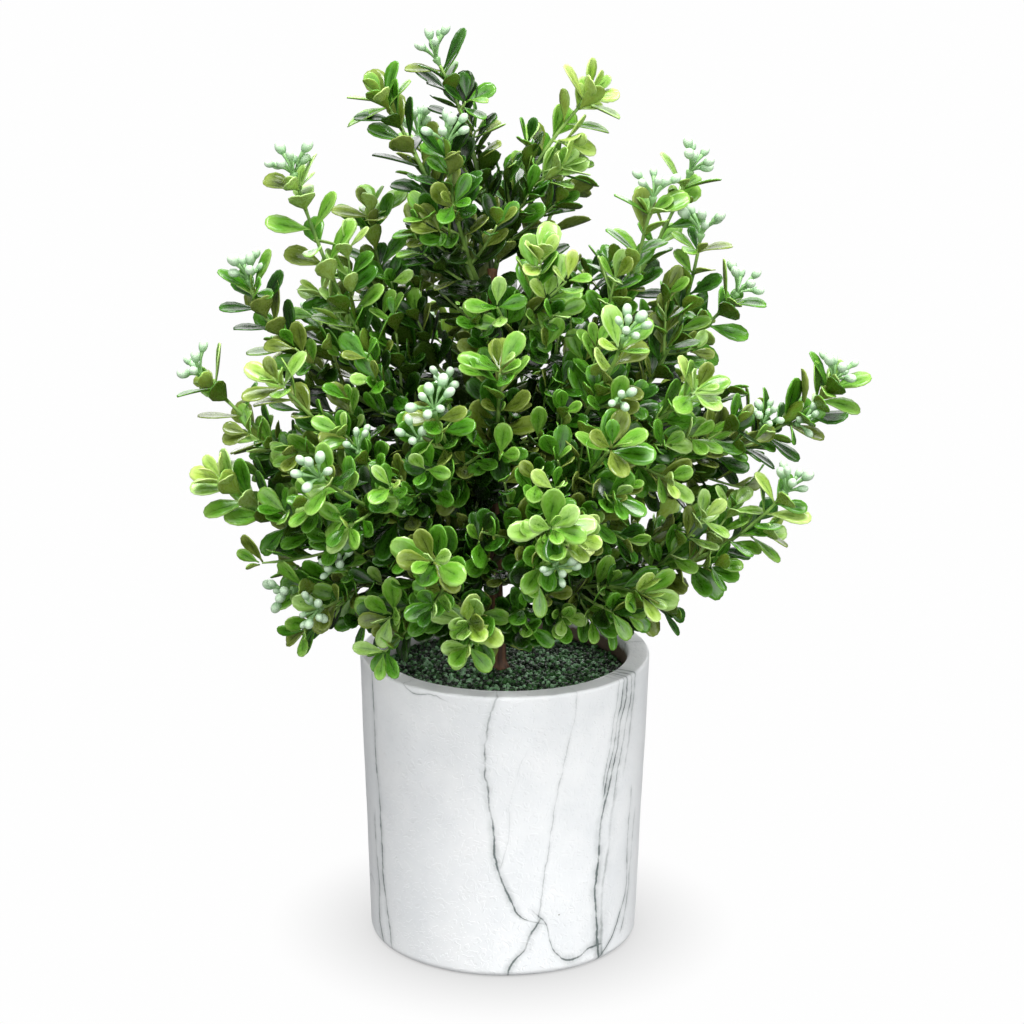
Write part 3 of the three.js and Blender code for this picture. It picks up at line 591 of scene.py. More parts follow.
# Sprays: each is one moulded shoot pushed into the trunk, bare at first and leafy after, and each
# keeps to its own space. Side in degrees round the trunk, reach from it, height of the tip and of
# the root, how far along its knee lies and how far above the straight line, its end and its green.
SPRAYS = [
    ("crown_top", 164, 26, 369, 276, 0.1, 3, "buds", "dark"),
    ("crown_left", 183, 49, 359, 258, 0.55, 8, "leaves", "dark"),
    ("crown_right", 8, 46, 359, 274, 0.1, -1, "leaves", "lime"),
    ("crown_front", 242, 38, 342, 264, 0.85, -2, "buds", "dark"),
    ("crown_back_left", 128, 52, 334, 250, 0.5, -10, "buds", "olive"),
    ("crown_back_right", 52, 50, 322, 256, 0.5, -9, "leaves", "olive"),
    ("upper_left", 196, 82, 328, 206, 0.57, -26, "buds", "fresh"),
    ("upper_left_inner", 172, 50, 314, 226, 0.9, -12, "leaves", "dark"),
    ("upper_middle", 294, 52, 304, 234, 0.5, -8, "leaves", "lime"),
    ("upper_right", 353, 80, 328, 228, 0.6, -17, "buds", "mid"),
    ("upper_right_front", 331, 72, 322, 216, 0.75, -15, "buds", "mid"),
    ("left_high", 187, 98, 284, 198, 0.92, 2, "buds", "dark"),
    ("left_far", 189, 120, 245, 172, 0.42, -20, "buds", "mid"),
    ("left_front", 206, 99, 252, 184, 0.35, -20, "leaves", "mid"),
    ("left_low", 196, 119, 210, 142, 0.66, -3, "leaves", "lime"),
    ("left_bottom", 200, 90, 155, 134, 0.5, 8, "buds", "mid"),
    ("front_left_high", 229, 103, 218, 168, 0.5, -6, "buds", "mid"),
    ("front_left", 256, 102, 190, 150, 0.5, 2, "leaves", "dark"),
    ("front_left_bottom", 232, 76, 151, 130, 0.5, 8, "leaves", "mid"),
    # The dark tone of the three middle sprays is partly painted shade in the crown's middle.
    ("middle_left", 254, 81, 246, 190, 0.5, -10, "buds", "dark"),
    ("middle_front", 273, 70, 266, 206, 0.55, -14, "leaves", "dark"),
    ("front_bottom", 263, 85, 156, 126, 0.5, 8, "leaves", "lime"),
    ("front", 283, 114, 207, 160, 0.5, 2, "leaves", "mid"),
    ("middle_right", 300, 100, 237, 176, 0.5, -8, "leaves", "dark"),
    ("front_right_high", 309, 83, 273, 198, 0.6, -14, "buds", "mid"),
    ("right_upper", 343, 86, 306, 206, 0.82, -26, "buds", "dark"),
    ("right_front", 328, 102, 252, 192, 0.5, -8, "leaves", "mid"),
    ("right_high", 5, 102, 275, 248, 0.68, -15, "buds", "dark"),
    ("right_far", 357, 140, 243, 184, 0.86, -3, "buds", "mid"),
    ("right_low", 346, 124, 202, 152, 0.65, -15, "buds", "mid"),
    ("right_bottom", 324, 86, 158, 136, 0.5, 8, "leaves", "mid"),
    ("back_left", 142, 94, 252, 192, 0.5, -12, "buds", "mid"),
    ("back_middle", 100, 98, 270, 196, 0.5, -10, "buds", "mid"),
    ("back_right", 38, 110, 256, 188, 0.5, -10, "leaves", "mid"),
    ("back_left_low", 138, 94, 170, 140, 0.5, 5, "leaves", "mid"),
    ("back_low", 92, 90, 168, 134, 0.5, 6, "buds", "fresh"),
    ("back_right_low", 36, 96, 160, 130, 0.5, 7, "buds", "mid"),
]
# How far leaves and buds stand out past the stem that they close.
LEAF_TIP_ALLOWANCE = 14
BUD_TIP_ALLOWANCE = 7
# The part of a spray that is bare: its bough where it has one, or else the foot of its stem.
BARE_SHARE = 0.22
LEAFLESS_SHARE = 0.1
BOUGH_ROOT_RADIUS = 1.5
BOUGH_TIP_RADIUS = 1.05
STEM_TIP_RADIUS = 0.62
TWIG_ROOT_RADIUS = 0.66
TWIG_TIP_RADIUS = 0.42
NODE_SPACING = 7
TWIG_NODE_SPACING = 7.2
SPRAY_STEPS = 16


def trunk_point(height):
    """Where the trunk's middle is at a height."""
    shares = np.linspace(0, 1, 400)
    points = bend_point(trunk_line, shares)
    return points[np.argmin(np.abs(points[:, 2] - height))]


def spray_line(side, reach, tip_z, root_z, knee, arch, ending):
    """The three corners of a spray's curve: its root on the trunk, its bend and its stem's tip."""
    turn = math.radians(side)
    start = trunk_point(root_z)
    tip = np.array([
        TRUNK_AXIS[0] + reach * math.cos(turn),
        TRUNK_AXIS[1] + reach * math.sin(turn),
        tip_z,
    ])
    middle = start + (tip - start) * knee
    middle[2] = (start[2] + tip[2]) / 2 + 2 * arch
    heading = (tip - middle) / np.linalg.norm(tip - middle)
    tip = tip - heading * (LEAF_TIP_ALLOWANCE if ending == "leaves" else BUD_TIP_ALLOWANCE)
    return start, middle, tip


spray_lines = [spray_line(*row[1:8]) for row in SPRAYS]
spray_shares = np.linspace(0, 1, SPRAY_STEPS + 1)
spray_points = np.array([bend_point(corners, spray_shares) for corners in spray_lines])
piece_starts = spray_points[:, :-1].reshape(-1, 3)
piece_runs = (spray_points[:, 1:] - spray_points[:, :-1]).reshape(-1, 3)
piece_lengths = (piece_runs ** 2).sum(1)
trunk_places = bend_point(trunk_line, np.linspace(0, 1, 60))
# Nothing hangs below the skirt's height. Each leaf and twig stays nearer its own spray than any
# other, give or take the margin, and clear of other sprays and of the trunk.
SKIRT_HEIGHT = 125.5
CELL_MARGIN = 1.5
SPRAY_CLEARANCE = 1.6
TRUNK_CLEARANCE = 4.6


def distances_to_sprays(points):
    """How far each point is from the line of every spray."""
    away = points[:, None] - piece_starts
    share = np.clip((away * piece_runs).sum(-1) / piece_lengths, 0, 1)
    gap = np.linalg.norm(away - share[..., None] * piece_runs, axis=-1)
    return gap.reshape(len(points), len(SPRAYS), SPRAY_STEPS).min(-1)


def fits(points, spray):
    """True where a leaf or twig is nearer its own spray than any other, off the trunk and pot."""
    gaps = distances_to_sprays(points)
    own = gaps[:, spray].copy()
    gaps[:, spray] = np.inf
    if (gaps.min(1) < np.maximum(own - CELL_MARGIN, SPRAY_CLEARANCE)).any():
        return False
    to_trunk = np.linalg.norm(points[:, None] - trunk_places, axis=-1).min(1)
    return bool((to_trunk > TRUNK_CLEARANCE).all() and (points[:, 2] > SKIRT_HEIGHT).all())


# The greens run from the darkest to the palest, with a brownish olive apart that is partly dye and
# partly painted shade of leaves at the back and inside the crown. Each tone of spray starts at one
# place in that run near the trunk and ends at another at its tip.
GREENS = ["deep", "dark", "mid", "bright", "fresh", "lime", "yellow", "olive"]
OLIVE_SHARE = {"dark": 0.18, "mid": 0.15, "fresh": 0.06, "lime": 0.05, "olive": 0.5}
GREEN_START = {"dark": 0.4, "mid": 0.5, "fresh": 0.9, "lime": 0.9, "olive": 0.4}
GREEN_END = {"dark": 2.4, "mid": 3.2, "fresh": 4.0, "lime": 4.6, "olive": 3.0}
GREEN_SCATTER = 0.75
# Painted shade: leaves near the trunk are darker by a part of that run, fading to nothing at the reach.
SHADE_DEPTH = 1.3
SHADE_REACH_TOP = 45
SHADE_REACH_FOOT = 88
# How strongly blades turn to the light, and how far that is outward, to the front or back, and up.
LIGHT_TURN = (0.4, 1.25)
OUTWARD_REACH = 160
FACING_PULL = 0.75
UP_PULL = 0.8
PULL_SCATTER = 0.5
FACES_BACK_FROM = 25
LEAF_LENGTH = 18
LEAF_SHAPE = 0.52
LEAF_CLEARANCE = 2.3
# How each leaf strays from its pair's turn, lean and size, and how much more from try to try, how
# wide it is for its length, and how far it bends back.
LEAF_TRIES = 5
TURN_STRAY = 0.12
TURN_STRAY_MORE = 0.2
LEAN_STRAY = 0.12
LEAN_MORE = (-0.22, 0.1)
SIZE_STRAY = 0.07
SIZE_LOSS = 0.07
WIDTH_RANGE = (0.88, 1.12)
BEND_BACK = 0.08
BEND_STRAY = 0.22
# Pairs of leaves from this length on may carry a second, smaller pair, and how often they do.
DOUBLED_FROM = 13
DOUBLED_SHARE = 0.2
# The lean and size of each pair of leaves that closes a twig or a stem, and the step between them.
TWIG_TUFT = ((1.0, 0.86), (0.6, 0.68))
STEM_TUFT = ((1.3, 1.0), (1.1, 0.95), (0.82, 0.8), (0.4, 0.6))
TUFT_STEP = 1.4
# Twigs: their length, the share of a spray, from the trunk, that carries them, the lengths that one
# is cut to until it fits, the shortest that is kept, and how far they lean away.
TWIG_LENGTH = 33
TWIGGY_SHARE = 0.64
TWIG_CUTS = (1, 0.8, 0.62, 0.48)
SHORTEST_TWIG = 9
TWIG_LEAN = (0.62, 0.86)
# How likely a twig is at the crown's top, and how much more where it is crowded, how its length
# varies, and how likely one ends in buds past that part of its spray.
TWIG_CHANCE = 0.3
CROWDED_CHANCE = 0.45
TWIG_RANGE = (0.75, 1.1)
BUDDED_FROM = 0.4
BUDDED_CHANCE = 0.16
# Leaves lean out from their stem by less towards its tip, each pair a little its own way.
STEM_LEAN = 1.1
LEAN_LOSS = {"buds": 0.2, "leaves": 0.36}
PAIR_STRAY = 0.08
# The crown is crowded below the first height and thins to its top over the second.
THIN_FROM = 330
THINS_OVER = 130
KNOT_LENGTH = 0.9
KNOT_SWELL = 0.35
RING_SPACING = {"boughs": 1.2, "stems": 2.2, "twigs": 2.2}
limbs = {"boughs": [], "stems": [], "twigs": []}
leaves = []
bud_tips = []
leaf_points = np.zeros((0, 3))
leaf_owner = np.zeros(0, dtype=int)
owner_count = 0


def aim(heading, turn, tilt):
    """The way out at a turn round a heading, and the direction that leans that way by a tilt."""
    across, over = axes_across(heading)
    outward = across * math.cos(turn) + over * math.sin(turn)
    return outward, heading * math.cos(tilt) + outward * math.sin(tilt)


def leaf_face(place, along, face, rng):
    """The way a blade looks: its own way, turned some way to the light, outward and up."""
    outward = np.array([place[0] - TRUNK_AXIS[0], place[1] - TRUNK_AXIS[1], 0]) / OUTWARD_REACH
    facing = FACING_PULL if place[1] > FACES_BACK_FROM else -FACING_PULL
    aside, ahead = rng.normal() * PULL_SCATTER, rng.normal() * PULL_SCATTER
    light = outward + np.array([aside, ahead + facing, UP_PULL])
    light = light - along * (light @ along)
    face = face + light * rng.uniform(*LIGHT_TURN)
    return face / np.linalg.norm(face)


def leaf_is_clear(points, spray):
    """True where a leaf keeps to its spray's space and off the leaves of other pairs."""
    if not fits(points, spray):
        return False
    if not len(leaf_points):
        return True
    near = (np.linalg.norm(points[:, None] - leaf_points, axis=-1) < LEAF_CLEARANCE).any(0)
    return not (leaf_owner[near] != owner_count).any()


def leaf_level(spray, place, green, rng):
    """Which green a leaf gets: darker near the trunk as painted shade, each a little its own, and some
    olive.
    """
    reach = SHADE_REACH_TOP + (SHADE_REACH_FOOT - SHADE_REACH_TOP) * crowding(place[2])
    to_trunk = np.hypot(*(place - trunk_point(place[2]))[:2])
    green = green - SHADE_DEPTH * max(0, 1 - to_trunk / reach) + rng.normal() * GREEN_SCATTER
    level = round(float(np.clip(green, 0, GREENS.index("yellow"))))
    if level < GREENS.index("lime") and rng.random() < OLIVE_SHARE[SPRAYS[spray][8]]:
        level = GREENS.index("olive")
    return level


def try_leaf(spray, place, heading, radius, turn, tilt, length, green, rng):
    """Adds a leaf if there is room, turning it more and making it shorter from try to try."""
    global leaf_points, leaf_owner
    for attempt in range(LEAF_TRIES):
        this_turn = turn + rng.normal() * (TURN_STRAY + TURN_STRAY_MORE * attempt)
        lean = tilt + rng.normal() * LEAN_STRAY + attempt * rng.uniform(*LEAN_MORE)
        size = length * (1 + rng.normal() * SIZE_STRAY) * (1 - SIZE_LOSS * attempt)
        outward, along = aim(heading, this_turn, lean)
        square = heading * math.sin(lean) - outward * math.cos(lean)
        face = leaf_face(place, along, square, rng)
        across = np.cross(face, along)
        root = place + outward * radius * 0.7
        width = size * LEAF_SHAPE * rng.uniform(*WIDTH_RANGE)
        bend = rng.normal() * BEND_STRAY + BEND_BACK
        middle = root + along * size * 0.55
        tip = root + along * size * math.cos(bend * 0.5) - face * size * math.sin(bend * 0.5)
        side = across * width * 0.45
        points = np.array([middle, tip, middle + side, middle - side])
        if leaf_is_clear(points, spray):
            leaf_points = np.concatenate([leaf_points, points])
            leaf_owner = np.concatenate([leaf_owner, np.full(len(points), owner_count)])
            level = leaf_level(spray, place, green, rng)
            leaves.append((root, along, across, face, size, width, bend, level))
            return


def add_node_leaves(spray, place, heading, radius, turn, tilt, length, green, rng):
    """An opposite pair, now and then with two small leaves opening in the angle above it."""
    global owner_count
    owner_count += 1
    for side in (0, math.pi):
        try_leaf(spray, place, heading, radius, turn + side, tilt, length, green, rng)
    if length > DOUBLED_FROM and rng.random() < DOUBLED_SHARE:
        start = rng.uniform(0.9, 2.2)
        for side in (0, math.pi):
            try_leaf(spray, place, heading, radius, turn + start + side, tilt * 0.72,
                     length * rng.uniform(0.5, 0.72), green + 0.5, rng)


def add_tuft(spray, place, heading, radius, turn, length, green, rng, steps):
    """The small leaves that close a leafy tip."""
    global owner_count
    owner_count += 1
    for tilt, size in steps:
        for side in (0, math.pi):
            try_leaf(spray, place, heading, radius, turn + side, tilt, length * size, green + 0.5, rng)
        place = place + heading * TUFT_STEP
        turn += math.pi / 2 + rng.normal() * 0.3


def crowding(height):
    """1 low in the crown, where twigs are long and many, falling to 0 at its top."""
    return float(np.clip((THIN_FROM - height) / THINS_OVER, 0, 1))


def add_limb(kind, corners, start, end, root_radius, tip_radius, knots):
    """A limb along part of a curve, a little thicker at each knot."""
    along = bend_point(corners, np.linspace(start, end, 9))
    length = np.linalg.norm(np.diff(along, axis=0), axis=1).sum()
    rings = max(5, int(length / RING_SPACING[kind]))
    shares = np.linspace(0, 1, rings)
    radii = root_radius + (tip_radius - root_radius) * shares
    swell = sum(np.exp(-((shares - knot) * length / KNOT_LENGTH) ** 2) for knot in knots)
    centres = bend_point(corners, start + (end - start) * shares)
    limbs[kind].append((centres, radii * (1 + KNOT_SWELL * swell)))


def grow_twig(spray, place, heading, turn, length, green, rng, budded):
    """A side twig with its own leaves, shortened until it fits, or left out."""
    for cut in TWIG_CUTS:
        run = length * cut
        if run < SHORTEST_TWIG:
            return
        way = aim(heading, turn, rng.uniform(*TWIG_LEAN))[1]
        middle = place + way * run * 0.5
        tip = middle + way * run * 0.5 + heading * run * 0.16 + np.array([0, 0, run * 0.05])
        corners = (place, middle, tip)
        if fits(bend_point(corners, np.linspace(0.3, 1, 6)), spray):
            clothe_twig(spray, corners, run, green, rng, int(rng.integers(4, 7)) * budded)
            return


def clothe_twig(spray, corners, run, green, rng, heads):
    """A twig's stem, its crossed pairs, and the buds or small leaves at its tip."""
    count = max(1, round(run / TWIG_NODE_SPACING))
    knots = [(i + 0.75) / (count + 0.35) for i in range(count)]
    add_limb("twigs", corners, 0, 1, TWIG_ROOT_RADIUS, TWIG_TIP_RADIUS, knots)
    leaf_turn = rng.uniform(0, math.pi)
    for knot in knots:
        at, way = bend_point(corners, knot), bend_heading(corners, knot)
        tilt = 1.0 - 0.35 * knot + rng.normal() * PAIR_STRAY
        add_node_leaves(spray, at, way, TWIG_TIP_RADIUS, leaf_turn, tilt,
                        LEAF_LENGTH * (0.92 - 0.2 * knot), green + 0.9 * knot, rng)
        leaf_turn += math.pi / 2
    end, way = bend_point(corners, 1), bend_heading(corners, 1)
    if heads:
        bud_tips.append((end, way, heads, 0.85))
    else:
        add_tuft(spray, end, way, TWIG_TIP_RADIUS, leaf_turn, LEAF_LENGTH * 0.86, green + 0.9, rng,
                 TWIG_TUFT)


# Sprays that run out long and slim: the share of each, from the trunk, that carries twigs.
SLENDER_SPRAYS = {
    "left_high": 0.34, "left_far": 0.6, "upper_left": 0.4, "upper_right": 0.4, "right_upper": 0.4,
    "upper_right_front": 0.4, "right_high": 0.4, "right_far": 0.26, "right_low": 0.3, "crown_top": 0.4,
    "left_low": 0.46, "crown_back_right": 0.12, "back_right_low": 0.4, "back_left": 0.3,
}
# Sprays with closer pairs of leaves than the rest, as a share of the usual spacing.
CLOSER_PAIRS = {
    "upper_left": 0.82, "crown_top": 0.84, "right_far": 0.9, "left_far": 0.86, "left_low": 0.9,
}


def grow_node_twigs(spray, at, heading, knot, turn, green, rng):
    """The twigs, if any, that leave a stem in the angles of one pair of leaves."""
    name, *_, ending, _ = SPRAYS[spray]
    twiggy = SLENDER_SPRAYS.get(name, TWIGGY_SHARE)
    full = crowding(at[2])
    for side in (0, math.pi):
        if knot < twiggy and rng.random() < TWIG_CHANCE + CROWDED_CHANCE * full:
            length = TWIG_LENGTH * (0.5 + 0.5 * full) * (1.08 - 0.5 * knot) * rng.uniform(*TWIG_RANGE)
            budded = ending == "buds" and knot > BUDDED_FROM and rng.random() < BUDDED_CHANCE
            twig_turn = turn + side + rng.normal() * 0.25
            grow_twig(spray, at, heading, twig_turn, length, green, rng, budded)


def end_spray(spray, turn, rng):
    """The bud cluster over a small pair of leaves, or the tuft of leaves, that closes a stem."""
    *_, ending, tone = SPRAYS[spray]
    tip, heading = bend_point(spray_lines[spray], 1), bend_heading(spray_lines[spray], 1)
    if ending == "buds":
        bud_tips.append((tip, heading, int(rng.integers(6, 9)), 1.0))
        add_node_leaves(spray, tip - heading * 4, heading, STEM_TIP_RADIUS, turn, 1.15,
                        LEAF_LENGTH * 0.8, GREEN_END[tone], rng)
    else:
        add_tuft(spray, tip, heading, STEM_TIP_RADIUS, turn, LEAF_LENGTH, GREEN_END[tone], rng,
                 STEM_TUFT)


def grow_spray(spray):
    """A spray's bare bough, its stem, its leaves in crossed pairs, its twigs and its tip."""
    name, *_, ending, tone = SPRAYS[spray]
    rng = np.random.default_rng(1000 + spray)
    corners = spray_lines[spray]
    bare = BARE_SHARE if f"bough_{name}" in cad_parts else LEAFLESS_SHARE
    length = np.linalg.norm(np.diff(spray_points[spray], axis=0), axis=1).sum()
    spacing = NODE_SPACING * CLOSER_PAIRS.get(name, 1)
    count = max(3, round(length * (1 - bare) / spacing))
    knots = [(i + 0.5) / count for i in range(count)]
    add_limb("boughs", corners, 0.0, bare, BOUGH_ROOT_RADIUS, BOUGH_TIP_RADIUS, [])
    add_limb("stems", corners, bare, 1, BOUGH_TIP_RADIUS, STEM_TIP_RADIUS, knots)
    turn = rng.normal() * 0.2
    for knot in knots:
        share = bare + (1 - bare) * knot
        at, heading = bend_point(corners, share), bend_heading(corners, share)
        green = GREEN_START[tone] + (GREEN_END[tone] - GREEN_START[tone]) * knot ** 2
        radius = BOUGH_TIP_RADIUS + (STEM_TIP_RADIUS - BOUGH_TIP_RADIUS) * knot
        size = LEAF_LENGTH * (1.04 - 0.14 * knot ** 2)
        tilt = STEM_LEAN - LEAN_LOSS[ending] * knot + rng.normal() * PAIR_STRAY
        add_node_leaves(spray, at, heading, radius, turn, tilt, size, green, rng)
        grow_node_twigs(spray, at, heading, knot, turn, green, rng)
        turn += math.pi / 2
    end_spray(spray, turn, rng)


# Side shoots that show from the front: the spray, how far along it they start, where their tips
# lie from there, how many buds they end in, or none for a leafy one, and their tone where it isn't
# the spray's.
SIDE_SHOOTS = [
    ("right_far", 0.6, (4, -6, 11), 9),
    ("right_far", 0.72, (6, -8, 1), 5),
    ("front", 0.7, (10, -26, -8), 7),
    ("left_bottom", 0.66, (-19, -29, -4), 8),
    ("middle_left", 0.76, (-14, -21, 10), 4),
    ("front", 0.74, (25, -24, 5), 0, "lime"),
    ("right_bottom", 0.5, (13, -24, -14), 0),
    ("right_bottom", 0.62, (16, -14, 5), 0),
    ("right_low", 0.58, (23, -14, 4), 0),
    ("right_low", 0.45, (28, -29, 40), 0),
    ("right_low", 0.62, (22, -5, 34), 0),
    ("right_low", 0.8, (23, -2, 2), 0),
    ("right_far", 0.4, (12, -15, 24), 0),
    ("upper_middle", 0.7, (24, -17, 24), 0),
    ("right_front", 0.58, (29, -36, -7), 0),
    ("middle_right", 0.6, (33, -29, -17), 0),
    ("right_bottom", 0.35, (7, -37, -4), 0),
    ("left_far", 0.55, (-32, -28, 20), 0),
    ("left_far", 0.72, (-28, -14, 20), 0),
    ("left_front", 0.45, (-43, -38, 20), 0),
    ("upper_right_front", 0.55, (8, -18, 40), 0),
    ("right_upper", 0.7, (0, -12, 41), 0),
    ("crown_right", 0.5, (28, -5, 18), 0),
    ("crown_top", 0.6, (8, 0, 17), 0),
    ("crown_top", 0.75, (7, -7, 13), 0),
    ("crown_right", 0.6, (22, -4, 5), 0),
    ("crown_right", 0.78, (17, -4, -3), 0),
    ("upper_left", 0.5, (-34, -3, 46), 0),
    ("upper_left", 0.68, (-3, 1, 44), 0),
]


def grow_side_shoot(spray, share, offset, heads, tone):
    """A twig to a given place, shorter by what its leaves or buds reach past its tip."""
    place = bend_point(spray_lines[spray], share)
    length = np.linalg.norm(offset)
    run = max(length - (BUD_TIP_ALLOWANCE if heads else LEAF_TIP_ALLOWANCE), 5)
    tip = place + np.array(offset) * run / length
    middle = (place + tip) / 2 - np.array([0, 0, 0.06 * run])
    rng = np.random.default_rng(int(500 + 97 * share))
    clothe_twig(spray, (place, middle, tip), run, GREEN_END[tone] - 1, rng, heads)


spray_names = [row[0] for row in SPRAYS]
for name, share, offset, heads, *tone in SIDE_SHOOTS:
    spray = spray_names.index(name)
    grow_side_shoot(spray, share, offset, heads, tone[0] if tone else SPRAYS[spray][8])
for spray in range(len(SPRAYS)):
    grow_spray(spray)

foliage_nodes = [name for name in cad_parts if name.startswith("foliage_")]
bough_nodes = [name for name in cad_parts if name.startswith("bough_")]
# Each kind of limb: its sides, its shade and pale mottling, what it is made of, the nodes that it
# takes the place of, and its slot.
LIMB_KINDS = (
    ("boughs", 10, "2e3a1a", "566b30", "dusty_green_polyethylene", bough_nodes, "bough"),
    ("stems", 8, "4a6e28", "8db356", "stem_green_polyethylene", foliage_nodes, "bough"),
    ("twigs", 6, "5c8431", "a3c66b", "twig_green_polyethylene", foliage_nodes, "bough"),
)
# Polyethylene dyed through: waxy, a soft broad shine. Boughs inside are dark and dusty, the stems
# and twigs that carry leaves are paler and fresher.
for kind, sides, shade, pale, label, covered, finish in LIMB_KINDS:
    limb_plastic = empty_material(label)
    limb_coords = node(limb_plastic, "TexCoord").outputs["Object"]
    limb_mottle = node(limb_plastic, "TexNoise", {"Vector": limb_coords, "Scale": 120, "Detail": 3})
    limb_share = node(limb_plastic, "MapRange", {0: limb_mottle, 1: 0.35, 2: 0.65})
    limb_colour = node(limb_plastic, "Mix", {0: limb_share, 6: linear(shade), 7: linear(pale)},
                       data_type="RGBA").outputs[2]
    limb_bump = node(limb_plastic, "Bump", {
        "Strength": 0.25, "Distance": 0.0003, "Height": limb_mottle})
    limb_shader = node(limb_plastic, "BsdfPrincipled", {
        "Base Color": limb_colour, "Roughness": 0.42, "IOR": 1.5, "Normal": limb_bump})
    node(limb_plastic, "OutputMaterial", {"Surface": limb_shader})
    piece = joined(kind, [tube(centres, radii, sides) for centres, radii in limbs[kind]], limb_plastic)
    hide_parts(*covered)
    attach(piece, "root")


# Leaves: spoon-shaped blades moulded in one with their twig, folded along a sunk midrib, with a
# thin pale edge, partly painted highlight. They are one joined piece for each green they are given.
LEAF_STATIONS = np.array([0, 0.12, 0.34, 0.56, 0.76, 0.92, 0.99])
LEAF_RAYS = np.array([-1, -0.52, 0, 0.52, 1])
LEAF_WIDEST_AT = 0.67
LEAF_STALK = 0.085
LEAF_THICK = 0.42
MIDRIB_THICK = 0.24
MIDRIB_SUNK = 0.14
MIDRIB_WIDTH = 0.5
# How far the halves of a blade fold up, cup, twist along it and vary in width.
LEAF_FOLD = (0.05, 0.16)
LEAF_CUP = (-0.06, 0.14)
LEAF_TWIST = 0.16
LEAF_SWELL = (0.94, 1.06)
NEARLY_FLAT = 1e-6
# The map holds 4 by 4 tiles. Undersides share its lowest row.
TILES = 4
TILE_EDGE = 0.06


def leaf_width_at(share):
    """Half the blade's width along it, as a share of its widest."""
    neck = np.sin(np.pi / 2 * np.minimum(share / LEAF_WIDEST_AT, 1)) ** 1.6
    past = np.maximum(share - LEAF_WIDEST_AT, 0) / (1 - LEAF_WIDEST_AT)
    return np.maximum(neck * np.sqrt(1 - past ** 2), LEAF_STALK * (1 - share))


def leaf_template():
    """Faces of one leaf and each corner's place on its tile, upper face, lower face, then edge."""
    rows, columns = len(LEAF_STATIONS), len(LEAF_RAYS)
    number = np.arange(rows * columns).reshape(rows, columns)
    under = number + rows * columns
    top = np.stack([number[:-1, :-1], number[:-1, 1:], number[1:, 1:], number[1:, :-1]], -1)
    bottom = np.stack([under[:-1, :-1], under[1:, :-1], under[1:, 1:], under[:-1, 1:]], -1)
    border = np.concatenate([number[0, :-1], number[:-1, -1], number[-1, :0:-1], number[:0:-1, 0]])
    after = np.roll(border, -1)
    edge = np.stack([border, border + rows * columns, after + rows * columns, after], -1)
    across, along = np.meshgrid(LEAF_RAYS, LEAF_STATIONS)
    flat = np.stack([(across + 1) / 2, along], -1).reshape(-1, 2)
    flat = TILE_EDGE + flat * (1 - 2 * TILE_EDGE)
    outer = flat + (np.stack([across, along * 2 - 1], -1).reshape(-1, 2)) * TILE_EDGE * 0.5
    both = np.concatenate([flat, outer])
    top, bottom = top.reshape(-1, 4), bottom.reshape(-1, 4)
    places = np.concatenate([flat[top], flat[bottom - rows * columns], both[edge]])
    is_under = np.concatenate([np.zeros(len(top)), np.ones(len(bottom)), np.zeros(len(edge))])
    return np.concatenate([top, bottom, edge]), places, is_under.astype(bool)


def leaf_points_of(root, along, across, face, length, width, bend, rng):
    """The upper points and then the lower points of many leaves, one row a leaf."""
    fold = rng.uniform(*LEAF_FOLD, len(root))[:, None, None]
    cup = rng.uniform(*LEAF_CUP, len(root))[:, None, None]
    twist = rng.normal(0, LEAF_TWIST, len(root))[:, None]
    swell = rng.uniform(*LEAF_SWELL, len(root))
    bent = bend[:, None] + NEARLY_FLAT
    run = np.sin(bent * LEAF_STATIONS) / bent * length[:, None]
    drop = -(1 - np.cos(bent * LEAF_STATIONS)) / bent * length[:, None]
    half = leaf_width_at(LEAF_STATIONS)[None] * (width * swell / 2)[:, None]
    tipped, turned_by = (bent * LEAF_STATIONS)[..., None], (twist * LEAF_STATIONS)[..., None]
    centre = root[:, None] + along[:, None] * run[..., None] + face[:, None] * drop[..., None]
    up = face[:, None] * np.cos(tipped) + along[:, None] * np.sin(tipped)
    side = across[:, None] * np.cos(turned_by) + up * np.sin(turned_by)
    up = up * np.cos(turned_by) - across[:, None] * np.sin(turned_by)
    reach = half[..., None] * LEAF_RAYS
    rise = fold * np.abs(reach) + cup * reach ** 2 / (width / 2)[:, None, None]
    rise = rise - MIDRIB_SUNK * np.exp(-(reach / MIDRIB_WIDTH) ** 2)
    upper = centre[:, :, None] + side[:, :, None] * reach[..., None] + up[:, :, None] * rise[..., None]
    midrib = (1 - np.abs(LEAF_RAYS)) ** 2 * (1 - LEAF_STATIONS[:, None] * 0.7)
    thick = LEAF_THICK + MIDRIB_THICK * midrib
    lower = upper - up[:, :, None] * thick[None, ..., None]
    return np.concatenate([upper.reshape(len(root), -1, 3), lower.reshape(len(root), -1, 3)], 1)


def leaf_batch(rows, rng):
    """All the leaves of one green as one mesh part and its map."""
    points = leaf_points_of(*(np.array(column) for column in list(zip(*rows))[:-1]), rng)
    faces, places, is_under = leaf_template()
    steps = np.arange(len(rows))[:, None, None] * points.shape[1]
    column = rng.integers(0, TILES, len(rows))
    row = rng.integers(1, TILES, len(rows))
    tile = np.stack([
        np.repeat(column[:, None], len(faces), 1),
        np.where(is_under[None], 0, row[:, None]),
    ], -1)
    corners = (places[None] + tile[:, :, None]) / TILES
    part = (points.reshape(-1, 3), (faces[None] + steps).reshape(-1, 4), NO_THREES)
    return part, (corners.reshape(-1, 2), np.zeros((0, 2)))
